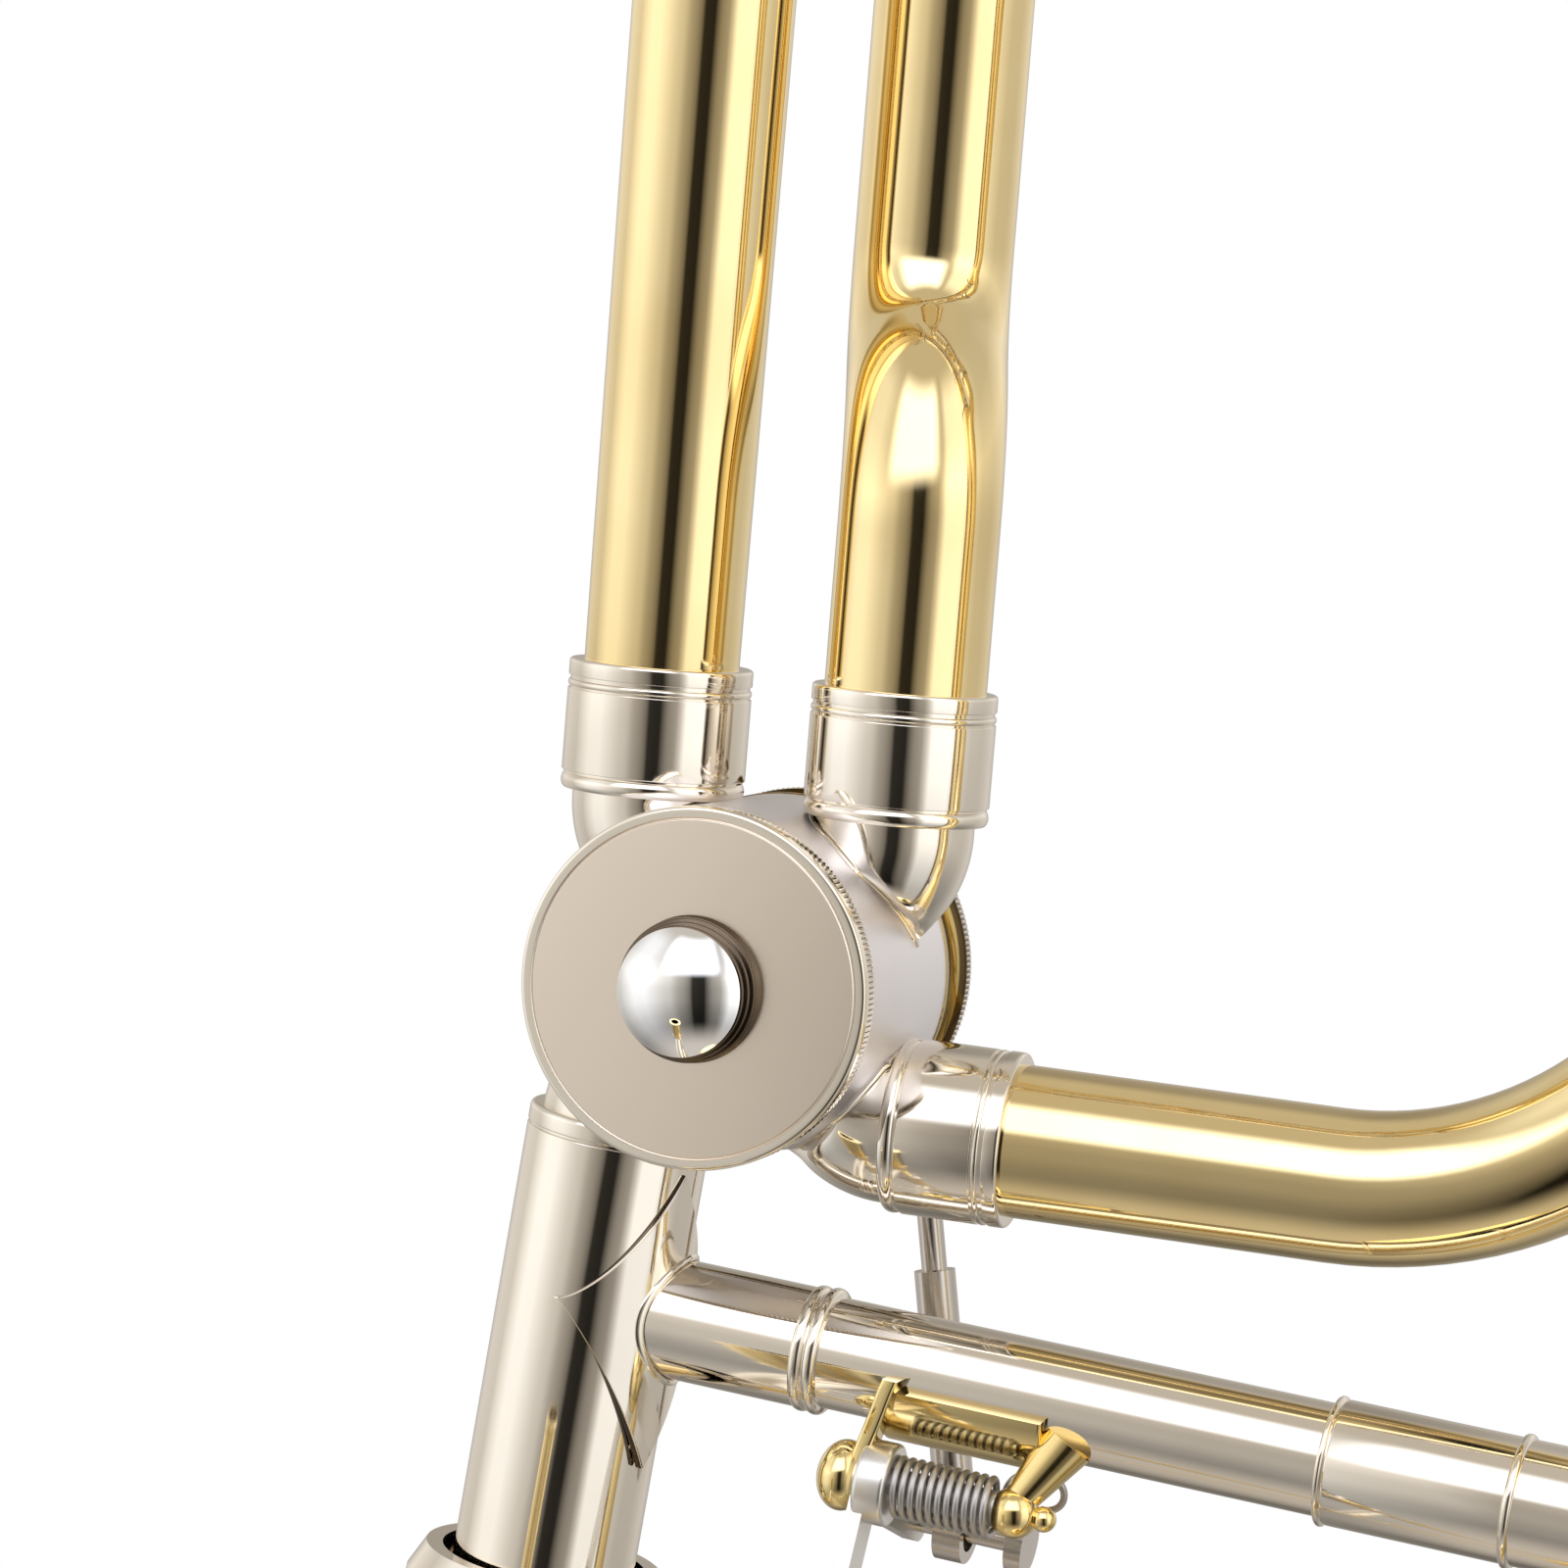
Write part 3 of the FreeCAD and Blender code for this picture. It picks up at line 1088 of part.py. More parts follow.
def main_tuning():
    """Fixed sleeves on both sides, and the slide: two legs, ferrules, the wide bow and its brace."""
    main_start = port_ferrule_start + port_ferrule_length / 2
    taper_start = port_ferrule_start + port_ferrule_length
    main = lathe([(bore_tube_radius - tube_wall, main_start), (bore_tube_radius, main_start),
                  (bore_tube_radius, taper_start), (main_tube_end_radius, bell_tail_height),
                  (main_tube_end_radius - tube_wall, bell_tail_height),
                  (bore_tube_radius - tube_wall, taper_start)])
    left = Vector(-main_port_offset, 0, 0)
    right = Vector(bell_axis_offset, 0, 0)
    save("main_tube", at_valve(moved(main, left)))
    bow_height = main_sleeve_top + tuning_gap + tuning_ferrule_length / 2
    foot = main_sleeve_top - main_leg_overlap
    top = main_sleeve_top
    end_radius = bell_radius(bell_tail_height)
    rise = tuning_ferrule_length / 2
    across = (main_port_offset + bell_axis_offset) / 2
    bow = Route(left + UP * bow_height, UP).straight(rise).bend(across, 90, EAST).bend(across, 90, UP * -1)
    bow = bow.straight(rise)
    bow_space = at_valve(bow.solid(main_tube_end_radius, end_radius))
    outer_radii = []
    sleeves, ferrules, legs = [], [], []
    tube_space = lathe([(0, taper_start), (bore_tube_radius, taper_start),
                        (main_tube_end_radius, bell_tail_height), (0, bell_tail_height)])
    bell_space = moved(bell_surface_solid(0, 0, bell_tail_height), right * -1)
    for place, radius, space in ((left, main_tube_end_radius, tube_space),
                                 (right, bell_radius(bell_tail_height), bell_space)):
        sleeve_radius = radius + main_sleeve_wall + main_leg_fit
        ferrule_radius = sleeve_radius + tuning_ferrule_wall
        outer_radii.append(sleeve_radius)
        half = tuning_ferrule_length / 2
        sleeve = pipe_ring(sleeve_radius, radius + main_leg_fit, bell_tail_height, top)
        sleeves.append(at_valve(moved(sleeve, place)))
        low = beaded_ring(ferrule_radius, sleeve_radius, bell_tail_height - half, bell_tail_height + half,
                          ferrule_bead)
        collar = pipe_ring(sleeve_radius, radius, bell_tail_height - half, bell_tail_height).cut(space)
        low = low.fuse(collar).removeSplitter()
        high = beaded_ring(ferrule_radius, sleeve_radius, top - tuning_ferrule_length, top, ferrule_bead)
        ferrules += [at_valve(moved(low, place)), at_valve(moved(high, place))]
        leg = pipe_ring(radius, radius - tube_wall, foot, bow_height)
        ring = beaded_ring(radius + tuning_ferrule_wall, radius, top + tuning_gap,
                           top + tuning_gap + tuning_ferrule_length, ferrule_bead)
        legs.append(at_valve(moved(leg.fuse(ring).removeSplitter(), place)).cut(bow_space))
    save("tuning_sleeves", *sleeves)
    save("tuning_ferrules", *ferrules)
    save("tuning_slide_legs", *legs)
    save("main_tuning_bow", at_valve(bow.tube(main_tube_end_radius, tube_wall, end_radius)))

    fixed = cross_brace(tuning_brace_height, 0, -main_port_offset, bell_axis_offset, outer_radii,
                        tuning_brace_radius)
    sliding = cross_brace(bow_height + tuning_slide_brace_rise, 0, -main_port_offset, bell_axis_offset,
                          [main_tube_end_radius, end_radius], tuning_brace_radius,
                          bow.solid(main_tube_end_radius, end_radius))
    save("tuning_slide_brace", at_valve(sliding))
    return fixed


def cross_brace(height, y, x0, x1, radii, radius, space=None):
    """Round brace between two upright tubes, with a flat round foot on each."""
    bar = moved(rod(radius, x0, x1), Vector(0, y, height), EAST)
    feet = []
    for x, tube_radius, sign in ((x0, radii[0], 1), (x1, radii[1], -1)):
        reach = tube_radius + tuning_foot_wall
        foot = moved(rod(tuning_foot_radius, 0, reach), Vector(x, y, height), EAST * sign)
        hug = moved(rod(reach, -tuning_foot_radius, tuning_foot_radius), Vector(x, y, height))
        feet.append(foot.common(hug))
    whole = bar.fuse(feet)
    for x, tube_radius in ((x0, radii[0]), (x1, radii[1])):
        whole = whole.cut(moved(rod(tube_radius, -2 * tuning_foot_radius, 2 * tuning_foot_radius),
                                Vector(x, y, height)))
    if space is not None:
        whole = whole.cut(space)
    return max(whole.Solids, key=lambda s: s.Volume).removeSplitter()


# Valve loop

def set_over(route):
    """Sets a leg of the loop back in a double bend, so that it passes behind the main tuning slide."""
    shift = loop_plane - route.here.y
    angle = 2 * math.degrees(math.atan2(shift, loop_offset_height))
    radius = loop_offset_height / (2 * math.sin(math.radians(angle)))
    route = route.bend(radius, angle, NORTH).bend(radius, angle, UP)
    return route.straight(loop_sleeve_start - route.here.z)


def valve_loop(main_brace):
    """Tubes from the valve to the loop's tuning slide and back, the slide itself, and its braces."""
    feed = Route(FEED_START + FEED_AIM * (feed_ferrule_start + feed_ferrule_length / 2), FEED_AIM)
    feed = feed.straight(loop_bend_start - feed_ferrule_start - feed_ferrule_length / 2)
    feed = feed.bend(loop_bend_radius, 90 + feed_fall_angle, UP)
    feed_x = feed.here.x
    feed = set_over(feed.straight(loop_offset_start - feed.here.z))
    save("loop_feed_tube", at_valve(feed.tube(feed_tube_radius, tube_wall)))

    way = math.radians(return_way_angle)
    side = Vector(math.cos(way), math.sin(way), 0)
    angle = return_bend_angle
    radii = return_bend_height / math.sin(math.radians(angle))
    low_radius = radii * return_low_bend_share
    start = Vector(return_port_offset, 0, port_ferrule_start + port_ferrule_length / 2)
    back = Route(start, UP).straight(return_height - start.z).bend(low_radius, angle, side)
    back = back.straight(return_slope_length).bend(radii - low_radius, angle, UP)
    back = set_over(back.straight(loop_offset_start - back.here.z))
    save("loop_return_tube", at_valve(back.tube(return_tube_radius, tube_wall)))
    print("return tube bends on a radius of", round(low_radius, 1), "and", round(radii - low_radius, 1), "mm")

    plane = loop_plane
    places = (Vector(feed_x, plane, 0), Vector(loop_return_offset, plane, 0))
    leg_radius = return_tube_radius
    sleeve_radius = leg_radius + main_leg_fit + main_sleeve_wall
    ferrule_radius = sleeve_radius + tuning_ferrule_wall
    top = loop_sleeve_top
    half = tuning_ferrule_length / 2
    bow_height = top + tuning_gap + half
    sleeves, ferrules, legs = [], [], []
    for place, tube_radius in zip(places, (feed_tube_radius, return_tube_radius)):
        tube = pipe_ring(sleeve_radius, leg_radius + main_leg_fit, loop_sleeve_start, top)
        low = beaded_ring(ferrule_radius, sleeve_radius, loop_sleeve_start - half, loop_sleeve_start + half,
                          ferrule_bead)
        collar = pipe_ring(sleeve_radius, tube_radius, loop_sleeve_start - half, loop_sleeve_start)
        low = low.fuse(collar).removeSplitter()
        high = beaded_ring(ferrule_radius, sleeve_radius, top - tuning_ferrule_length, top, ferrule_bead)
        ring = beaded_ring(leg_radius + tuning_ferrule_wall, leg_radius, top + tuning_gap,
                           top + tuning_gap + tuning_ferrule_length, ferrule_bead)
        leg = pipe_ring(leg_radius, leg_radius - tube_wall, top - loop_leg_overlap, bow_height)
        sleeves.append(at_valve(moved(tube, place)))
        ferrules += [at_valve(moved(low, place)), at_valve(moved(high, place))]
        legs.append(at_valve(moved(leg.fuse(ring).removeSplitter(), place)))
    save("loop_sleeves", *sleeves)
    save("loop_ferrules", *ferrules)
    save("loop_slide_legs", *legs)
    across = (feed_x - loop_return_offset) / 2
    bow = Route(places[1] + UP * bow_height, UP).straight(half).bend(across, 90, EAST)
    bow = bow.bend(across, 90, UP * -1).straight(half)
    save("loop_tuning_bow", at_valve(bow.tube(leg_radius, tube_wall)))

    fixed = cross_brace(tuning_brace_height, plane, loop_return_offset, feed_x,
                        [sleeve_radius, sleeve_radius], loop_brace_radius)
    sliding = cross_brace(bow_height + loop_slide_brace_rise, plane, loop_return_offset, feed_x,
                          [leg_radius, leg_radius], loop_brace_radius, bow.solid(leg_radius))
    save("loop_slide_brace", at_valve(sliding))
    middle = Vector((feed_x + loop_return_offset) / 2, 0, tuning_brace_height)
    stay = moved(rod(stay_radius, 0, plane), middle, NORTH)
    main_space = moved(rod(tuning_brace_radius, 0, bell_axis_offset), Vector(0, 0, tuning_brace_height), EAST)
    loop_space = moved(rod(loop_brace_radius, 0, bell_axis_offset), Vector(0, plane, tuning_brace_height), EAST)
    stay = stay.cut(main_space).cut(loop_space)
    save("sleeve_braces", at_valve(main_brace), at_valve(fixed), at_valve(stay))
    total = feed.length + back.length + bow.length + 2 * (top - loop_sleeve_start)
    print("valve loop is", round(total), "mm long outside the rotor")


inner_slide()
lock_nut()
lock_ring()
outer_slide()
water_key()
valve()
valve_caps()
rotor()
stop_work()
linkage()
receiver()
bell_brace()
lever_saddle()
thumb_lever()
lever_spring()
bell()
valve_loop(main_tuning())
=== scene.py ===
import math

import bmesh
import bpy
from bpy.props import FloatProperty, FloatVectorProperty, IntProperty, PointerProperty
from mathutils import Matrix, Vector
from mathutils.bvhtree import BVHTree


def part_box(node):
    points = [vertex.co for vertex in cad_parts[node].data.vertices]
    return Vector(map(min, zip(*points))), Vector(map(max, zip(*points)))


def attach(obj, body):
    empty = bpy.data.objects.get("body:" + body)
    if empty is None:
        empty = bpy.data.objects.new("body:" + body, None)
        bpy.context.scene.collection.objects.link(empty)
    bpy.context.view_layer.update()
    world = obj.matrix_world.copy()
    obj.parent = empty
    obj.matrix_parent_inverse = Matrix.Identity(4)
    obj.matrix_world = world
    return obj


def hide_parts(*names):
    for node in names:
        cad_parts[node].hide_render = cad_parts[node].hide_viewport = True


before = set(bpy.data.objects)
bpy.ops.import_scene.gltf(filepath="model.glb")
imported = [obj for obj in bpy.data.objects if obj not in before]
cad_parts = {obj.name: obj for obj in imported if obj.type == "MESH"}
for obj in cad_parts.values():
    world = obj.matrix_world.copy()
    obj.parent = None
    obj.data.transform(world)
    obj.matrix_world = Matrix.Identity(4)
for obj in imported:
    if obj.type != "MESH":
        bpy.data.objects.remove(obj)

bl_info = {
    "name": "Tenor Trombone",
    "version": (1, 0, 0),
    "blender": (4, 5, 0),
    "location": "View3D > Sidebar > Trombone",
    "description": "Dresses the frame of a tenor trombone in smooth metal pieces, with a studio and a camera",
    "category": "Add Mesh",
}

UP = Vector((0, 0, 1))
NORTH = Vector((0, 1, 0))
EAST = Vector((1, 0, 0))
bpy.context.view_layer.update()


# Settings

def length(name, value, text):
    """A length given in millimetres, kept in metres."""
    return FloatProperty(name=name, description=text, default=value / 1000, unit="LENGTH", precision=5)


def angle(name, value, text):
    """An angle given in degrees, kept in radians."""
    return FloatProperty(name=name, description=text, default=math.radians(value), subtype="ANGLE")


def srgb(code):
    """Linear colour of a hex code."""
    parts = [int(code[i:i + 2], 16) / 255 for i in (1, 3, 5)]
    return tuple(c / 12.92 if c <= 0.04045 else ((c + 0.055) / 1.055) ** 2.4 for c in parts) + (1.0,)


def colour(name, code, text):
    """A colour given as a hex code, kept linear."""
    return FloatVectorProperty(name=name, description=text, default=srgb(code)[:3], subtype="COLOR",
                               min=0, max=1)


class StageSettings(bpy.types.PropertyGroup):
    """Camera, floor and light."""
    camera_distance: length("Camera distance", 600, "From the camera to the point that it looks at")
    camera_lens: FloatProperty(name="Lens", description="Focal length on a 36 mm sensor", default=140.99)
    camera_azimuth: angle("Azimuth", 18.43, "Camera's turn round the valve, from its front towards the bell")
    camera_elevation: angle("Elevation", 4.85, "Camera's height above the valve's own level")
    camera_roll: angle("Roll", 4.62, "Camera's roll about its view")
    aim_x: length("Aim sideways", 1.77, "Point that the camera looks at, from the valve's centre")
    aim_z: length("Aim height", 18.91, "Point that the camera looks at, from the valve's centre")
    floor_width: length("Floor width", 2600, "Side of the floor")
    lamp_power: FloatProperty(name="Lamp power", description="Power of the lamp overhead in watts", default=9)


class SlideSettings(bpy.types.PropertyGroup):
    """Places of the hand slide that the pieces above it start from."""
    top: length("Slide length", 764, "From the bumper's tip to the tenon's shoulder")
    leg: length("Leg offset", 43, "From the middle of the slide to each leg")


class ValveSettings(bpy.types.PropertyGroup):
    """Rotor valve in its own frame, with the rotor's axis along Y."""
    height: length("Valve height", 855, "Height of the rotor's axis")
    offset: length("Valve offset", 10.7, "From the slide's bell leg to the rotor's axis")
    tilt: angle("Tilt", 5.7, "Lean of the valve's own frame")
    casing_radius: length("Casing radius", 17.2, "Outside radius of the casing")
    casing_half: length("Casing half depth", 14.2, "From the middle of the casing to a cap")
    cap_radius: length("Cap radius", 17.47, "Outside radius of the front cap")
    cap_plane: length("Cap plane", 17.6, "From the middle of the casing to the front cap's face")
    cap_groove: length("Cap groove", 1.15, "From the front cap's edge in to the groove on its face")
    cove_length: length("Cove length", 5.2, "Length of the turned band at the casing's back edge")
    dome_radius: length("Dome radius", 6.2, "Radius of the dome's edge")
    dome_foot: length("Dome foot", 3.7, "Height of the dome's edge above the cap")
    dome_height: length("Dome height", 2.45, "Height of the dome above its edge")
    tube_radius: length("Main tube radius", 7.6, "Outside radius of the main tube at the valve")
    return_radius: length("Return tube radius", 7.9, "Outside radius of the loop's return tube")
    feed_radius: length("Feed tube radius", 7.48, "Outside radius of the loop's feed tube")
    knuckle_radius: length("Knuckle radius", 7.8, "Outside radius of the elbows")
    ferrule_radius: length("Ferrule radius", 9.05, "Outside radius of the ferrules on the upper tubes")
    ferrule_start: length("Ferrule start", 16.65, "Height of those ferrules' lower ends above the axis")
    ferrule_length: length("Ferrule length", 12.8, "Length of those ferrules")
    main_port: length("Main port", 11.83, "From the axis to the main tube")
    return_port: length("Return port", 13.38, "From the axis to the return tube")
    feed_drop: length("Feed drop", 12.74, "From the axis down to the feed tube")
    feed_turn: angle("Feed turn", 4.0, "Turn of the feed tube away from the front")
    feed_fall: angle("Feed fall", 1.31, "Fall of the feed tube")
    feed_ferrule_radius: length("Feed ferrule radius", 8.6, "Outside radius of the feed tube's ferrule")
    feed_ferrule_start: length("Feed ferrule start", 15.9, "From the casing's middle to that ferrule")
    feed_ferrule_length: length("Feed ferrule length", 12.0, "Length of that ferrule")
    knurl_count: IntProperty(name="Knurl teeth", description="Teeth round the edge of a cap", default=204)
    knurl_depth: length("Knurl depth", 0.3, "Depth of the teeth round a cap")
    ring_width: length("Rear ring width", 2.0, "Width of the ring that closes the casing's back")
    cove_depth: length("Cove depth", 1.7, "Depth of the turned band at the casing's back edge")
    elbow_bend: length("Elbow bend", 6.0, "Radius of an elbow's bend on its inner side")
    elbow_tip: angle("Elbow tip", 16.5, "Turn from an elbow's point to the casing's side")
    lip_wire: length("Lip wire", 0.42, "Thickness of the rolled edge round an elbow's foot")


class BraceSettings(bpy.types.PropertyGroup):
    """Receiver, brace and thumb lever."""
    drop: length("Brace drop", 35.5, "From the rotor's axis down to the brace, along the receiver")
    rise: angle("Brace rise", 1.494, "Rise of the brace towards the bell")
    radius: length("Brace radius", 5.5, "Outside radius of the brace tube")
    left_radius: length("Left sleeve radius", 5.95, "Outside radius of the sleeve at the receiver")
    right_radius: length("Right sleeve radius", 6.1, "Outside radius of the sleeve at the bell")
    first_ring: length("First ring", 25.8, "From the receiver's axis to the left sleeve's end")
    second_ring: length("Second ring", 77.3, "From the receiver's axis to the right sleeve's end")
    third_ring: length("Third ring", 95.4, "From the receiver's axis to the bead on the right sleeve")
    receiver_radius: length("Receiver radius", 9.09, "Outside radius of the slide receiver")
    receiver_drop: length("Receiver drop", 16.5, "From the rotor's axis down to the receiver's top")
    flange_height: length("Flange half height", 14.8, "Half the height of the pointed flange")
    hinge_drop: length("Hinge drop", 10.3, "From the brace's axis down to the hinge")
    hinge_forward: length("Hinge forward", 6.0, "From the brace's axis forward to the hinge")
    flange_thickness: length("Flange thickness", 0.85, "Thickness of the pointed flange")
    flange_turn: angle("Flange turn", 20, "Turn of the pointed flange towards the front")
    flange_reach: angle("Flange reach", 71.5, "Angle from the flange's middle to a side point")
    flange_lift: length("Flange lift", 1.6, "Height of the side points above the middle")
    bell_disc_radius: length("Bell disc radius", 12.5, "Radius of the disc on the bell")
    flange_waist: FloatProperty(name="Flange waist", description="How fast the flange narrows", default=1.35)
    hinge_start: length("Hinge start", 31.0, "Place of the hinge's left ball along the brace")
    hinge_end: length("Hinge end", 47.5, "Place of the hinge's right ball along the brace")
    saddle_start: length("Saddle start", 33.0, "Left end of the saddle along the brace")
    post_top: length("Post top", 51.6, "Place of the hinge post's upper end along the brace")
    saddle_end: length("Saddle end", 49.4, "Right end of the saddle along the brace")
    saddle_thickness: length("Saddle thickness", 1.5, "Thickness of the saddle's channel")
    saddle_wrap: angle("Saddle wrap", 50, "Half the angle that the saddle's channel spans")
    ball_radius: length("Ball radius", 3.5, "Radius of the hinge's left ball")
    barrel_start: length("Barrel start", 32.6, "Left end of the lever's hinge barrel along the brace")
    barrel_length: length("Barrel length", 3.2, "Length of the lever's hinge barrel")
    barrel_radius: length("Barrel radius", 4.1, "Radius of the lever's hinge barrel")
    spring_start: length("Spring start", 36.0, "Left end of the spring along the brace")
    spring_radius: length("Spring radius", 2.75, "Mean radius of the spring")
    spring_wire: length("Spring wire", 0.72, "Diameter of the spring's wire")
    spring_turns: IntProperty(name="Spring turns", description="Turns of the spring", default=11)


class BellSettings(bpy.types.PropertyGroup):
    """Brass tubes from the valve to the main tuning slide and the valve loop."""
    tail: length("Bell tail", 150, "Height of the bell's small end")
    tube_end: length("Main tube end radius", 8.3, "Outside radius of the main tube at the tuning slide")
    loop_start: length("Loop sleeve start", 170, "Height of the loop sleeves' lower ends")
    wall: length("Tube wall", 0.55, "Wall of the tubes")
    set_back_start: length("Set back start", 96, "Height at which the loop's legs bend back")
    set_back_height: length("Set back height", 42, "Height of that double bend")
    bend_angle: angle("Return bend angle", 52, "Lean of the return tube between its two bends")
    slope: length("Return slope", 2, "Length of the straight run between the return tube's bends")
    bend_way: angle("Return way", 110.4, "Direction in which the return tube sets over, from the bell's side")
    low_bend_share: FloatProperty(name="Low bend share", description="Share of the lower bend", default=0.537)
    loop_plane: length("Loop plane", 21.4, "From the rotor's middle back to the loop's legs")
    bend_start: length("Feed bend start", 59.2, "From the rotor's axis to the feed tube's bend")
    bend_radius: length("Feed bend radius", 39.4, "Radius of the feed tube's bend")
    bend_height: length("Return bend start", 44.75, "Height at which the return tube bends back")
    bend_length: length("Return bend length", 26.432, "Length of the return tube's double bend")


class FinishSettings(bpy.types.PropertyGroup):
    """Colours of the clean finishes under white light, of the painted shade in gaps and hollows, and of the
    floor.
    """
    lacquered_brass: colour("Lacquered brass", "#F6E0A9", "Tubes and bell")
    polished_nickel: colour("Polished nickel", "#EEE6D9", "Elbows, ferrules, receiver and brace")
    lapped_nickel: colour("Lapped nickel", "#F6EADB", "Front cap's face")
    blasted_nickel: colour("Blasted nickel", "#F4F1F4", "Casing and rotor")
    chrome: colour("Chrome", "#F6F5F4", "Finial and inner slide")
    gilded_brass: colour("Gilded brass", "#F3DC9E", "Lever's saddle")
    # Painted shade: the valleys of the milled edges, the dome's neck and the pointed flange's edges are
    # painted this dark
    tarnished_nickel: colour("Tarnished nickel", "#6A5D4E", "Gaps of the milled edges and solder lines")
    tarnished_brass: colour("Tarnished brass", "#A08A58", "Turned band at the casing's back edge")
    # Painted shade: rings in the cove of the casing's turned band are painted this dark
    smoked_brass: colour("Smoked brass", "#52432A", "Corners of that band")
    brushed_steel: colour("Brushed steel", "#C9C2BA", "Link rod with its eyes and screw")
    matt_paper: colour("Matt paper", "#ECEAE6", "Floor")


SETTINGS = {"stage": StageSettings, "slide": SlideSettings, "valve": ValveSettings, "brace": BraceSettings,
            "bell": BellSettings, "finish": FinishSettings}


class TromboneSettings(bpy.types.PropertyGroup):
    """All the settings of the trombone."""
    stage: PointerProperty(type=StageSettings)
    slide: PointerProperty(type=SlideSettings)
    valve: PointerProperty(type=ValveSettings)
    brace: PointerProperty(type=BraceSettings)
    bell: PointerProperty(type=BellSettings)
    finish: PointerProperty(type=FinishSettings)


class Sizes:
    """The lengths of one group in millimetres, and its other values as they are."""

    def __init__(self, group):
        for key, rna in group.bl_rna.properties.items():
            if rna.type in ("FLOAT", "INT"):
                value = getattr(group, key)
                setattr(self, key, value * 1000 if rna.unit == "LENGTH" else value)


def sizes(context, name):
    return Sizes(getattr(context.scene.trombone, name))


# Frames, which take millimetres to the row frame's metres

MM = Matrix.Scale(0.001, 4)


def valve_frame(context):
    v, s = sizes(context, "valve"), sizes(context, "slide")
    return MM @ Matrix.Translation((v.offset, s.leg, v.height)) @ Matrix.Rotation(-v.tilt, 4, "Y")


def brace_frame(context):
    v, s, b = sizes(context, "valve"), sizes(context, "slide"), sizes(context, "brace")
    return MM @ Matrix.Translation((0, s.leg, v.height - b.drop)) @ Matrix.Rotation(-b.rise, 4, "Y")


def leg_frame(context, side):
    return MM @ Matrix.Translation((0, side * sizes(context, "slide").leg, 0))


def towards(base, direction, turn=0.0):
    """Frame at a place with its Z along a direction."""
    spin = UP.rotation_difference(Vector(direction)).to_matrix().to_4x4()
    return Matrix.Translation(base) @ spin @ Matrix.Rotation(turn, 4, "Z")


FRONT = towards((0, 0, 0), NORTH * -1)
BACK = towards((0, 0, 0), NORTH)
EASTWARD = towards((0, 0, 0), EAST)


# Shapes

def rounded(outline, radius, closed=True, steps=4):
    """Outline with its corners rounded; a third number in a point is its own radius."""
    flat, side_share = 0.2, 0.45
    made = []
    count = len(outline)
    for i, corner in enumerate(outline):
        here = Vector(corner[:2])
        own = corner[2] if len(corner) > 2 else radius
        if not closed and i in (0, count - 1):
            made.append(here)
            continue
        back = Vector(outline[i - 1][:2]) - here
        on = Vector(outline[(i + 1) % count][:2]) - here
        bend = math.pi - back.angle(on, math.pi)
        if own <= 0 or bend < flat:
            made.append(here)
            continue
        reach = min(own * math.tan(bend / 2), side_share * back.length, side_share * on.length)
        first, last = here + back.normalized() * reach, here + on.normalized() * reach
        for k in range(steps + 1):
            t = k / steps
            made.append(first * (1 - t) ** 2 + here * 2 * t * (1 - t) + last * t ** 2)
    return [(p.x, p.y) for p in made]


def circle(count):
    """Angles of evenly spaced points round a circle."""
    return [2 * math.pi * k / count for k in range(count)]


def bump(start, end, radius, height, steps=8):
    """Points of a round bead (or groove, below zero) between two heights on a cylinder."""
    turns = [math.pi * k / steps for k in range(steps + 1)]
    return [(radius + height * math.sin(a), start + (end - start) * (1 - math.cos(a)) / 2) for a in turns]


class Route:
    """Centre line of a tube: straight runs and arcs, as points with their directions."""

    def __init__(self, start, direction):
        self.here, self.aim = Vector(start), Vector(direction).normalized()
        self.points = [(self.here.copy(), self.aim.copy())]

    def straight(self, run):
        if run > 0:
            self.here = self.here + self.aim * run
            self.points.append((self.here.copy(), self.aim.copy()))
        return self

    def bend(self, radius, turn, side, step=math.radians(3)):
        side = (side - self.aim * side.dot(self.aim)).normalized()
        start, aim = self.here.copy(), self.aim.copy()
        count = max(2, math.ceil(turn / step))
        for k in range(1, count + 1):
            a = turn * k / count
            self.here = start + aim * (radius * math.sin(a)) + side * (radius * (1 - math.cos(a)))
            self.aim = (aim * math.cos(a) + side * math.sin(a)).normalized()
            self.points.append((self.here.copy(), self.aim.copy()))
        return self

    def double_bend(self, shift, height):
        """Sets the line over by a shift and back to its direction, within a height."""
        turn = 2 * math.atan2(shift.length, height)
        radius = height / (2 * math.sin(turn))
        aim = self.aim.copy()
        return self.bend(radius, turn, shift).bend(radius, turn, aim)


# Points closer than this, in metres, are one
SAME_PLACE = 1e-7


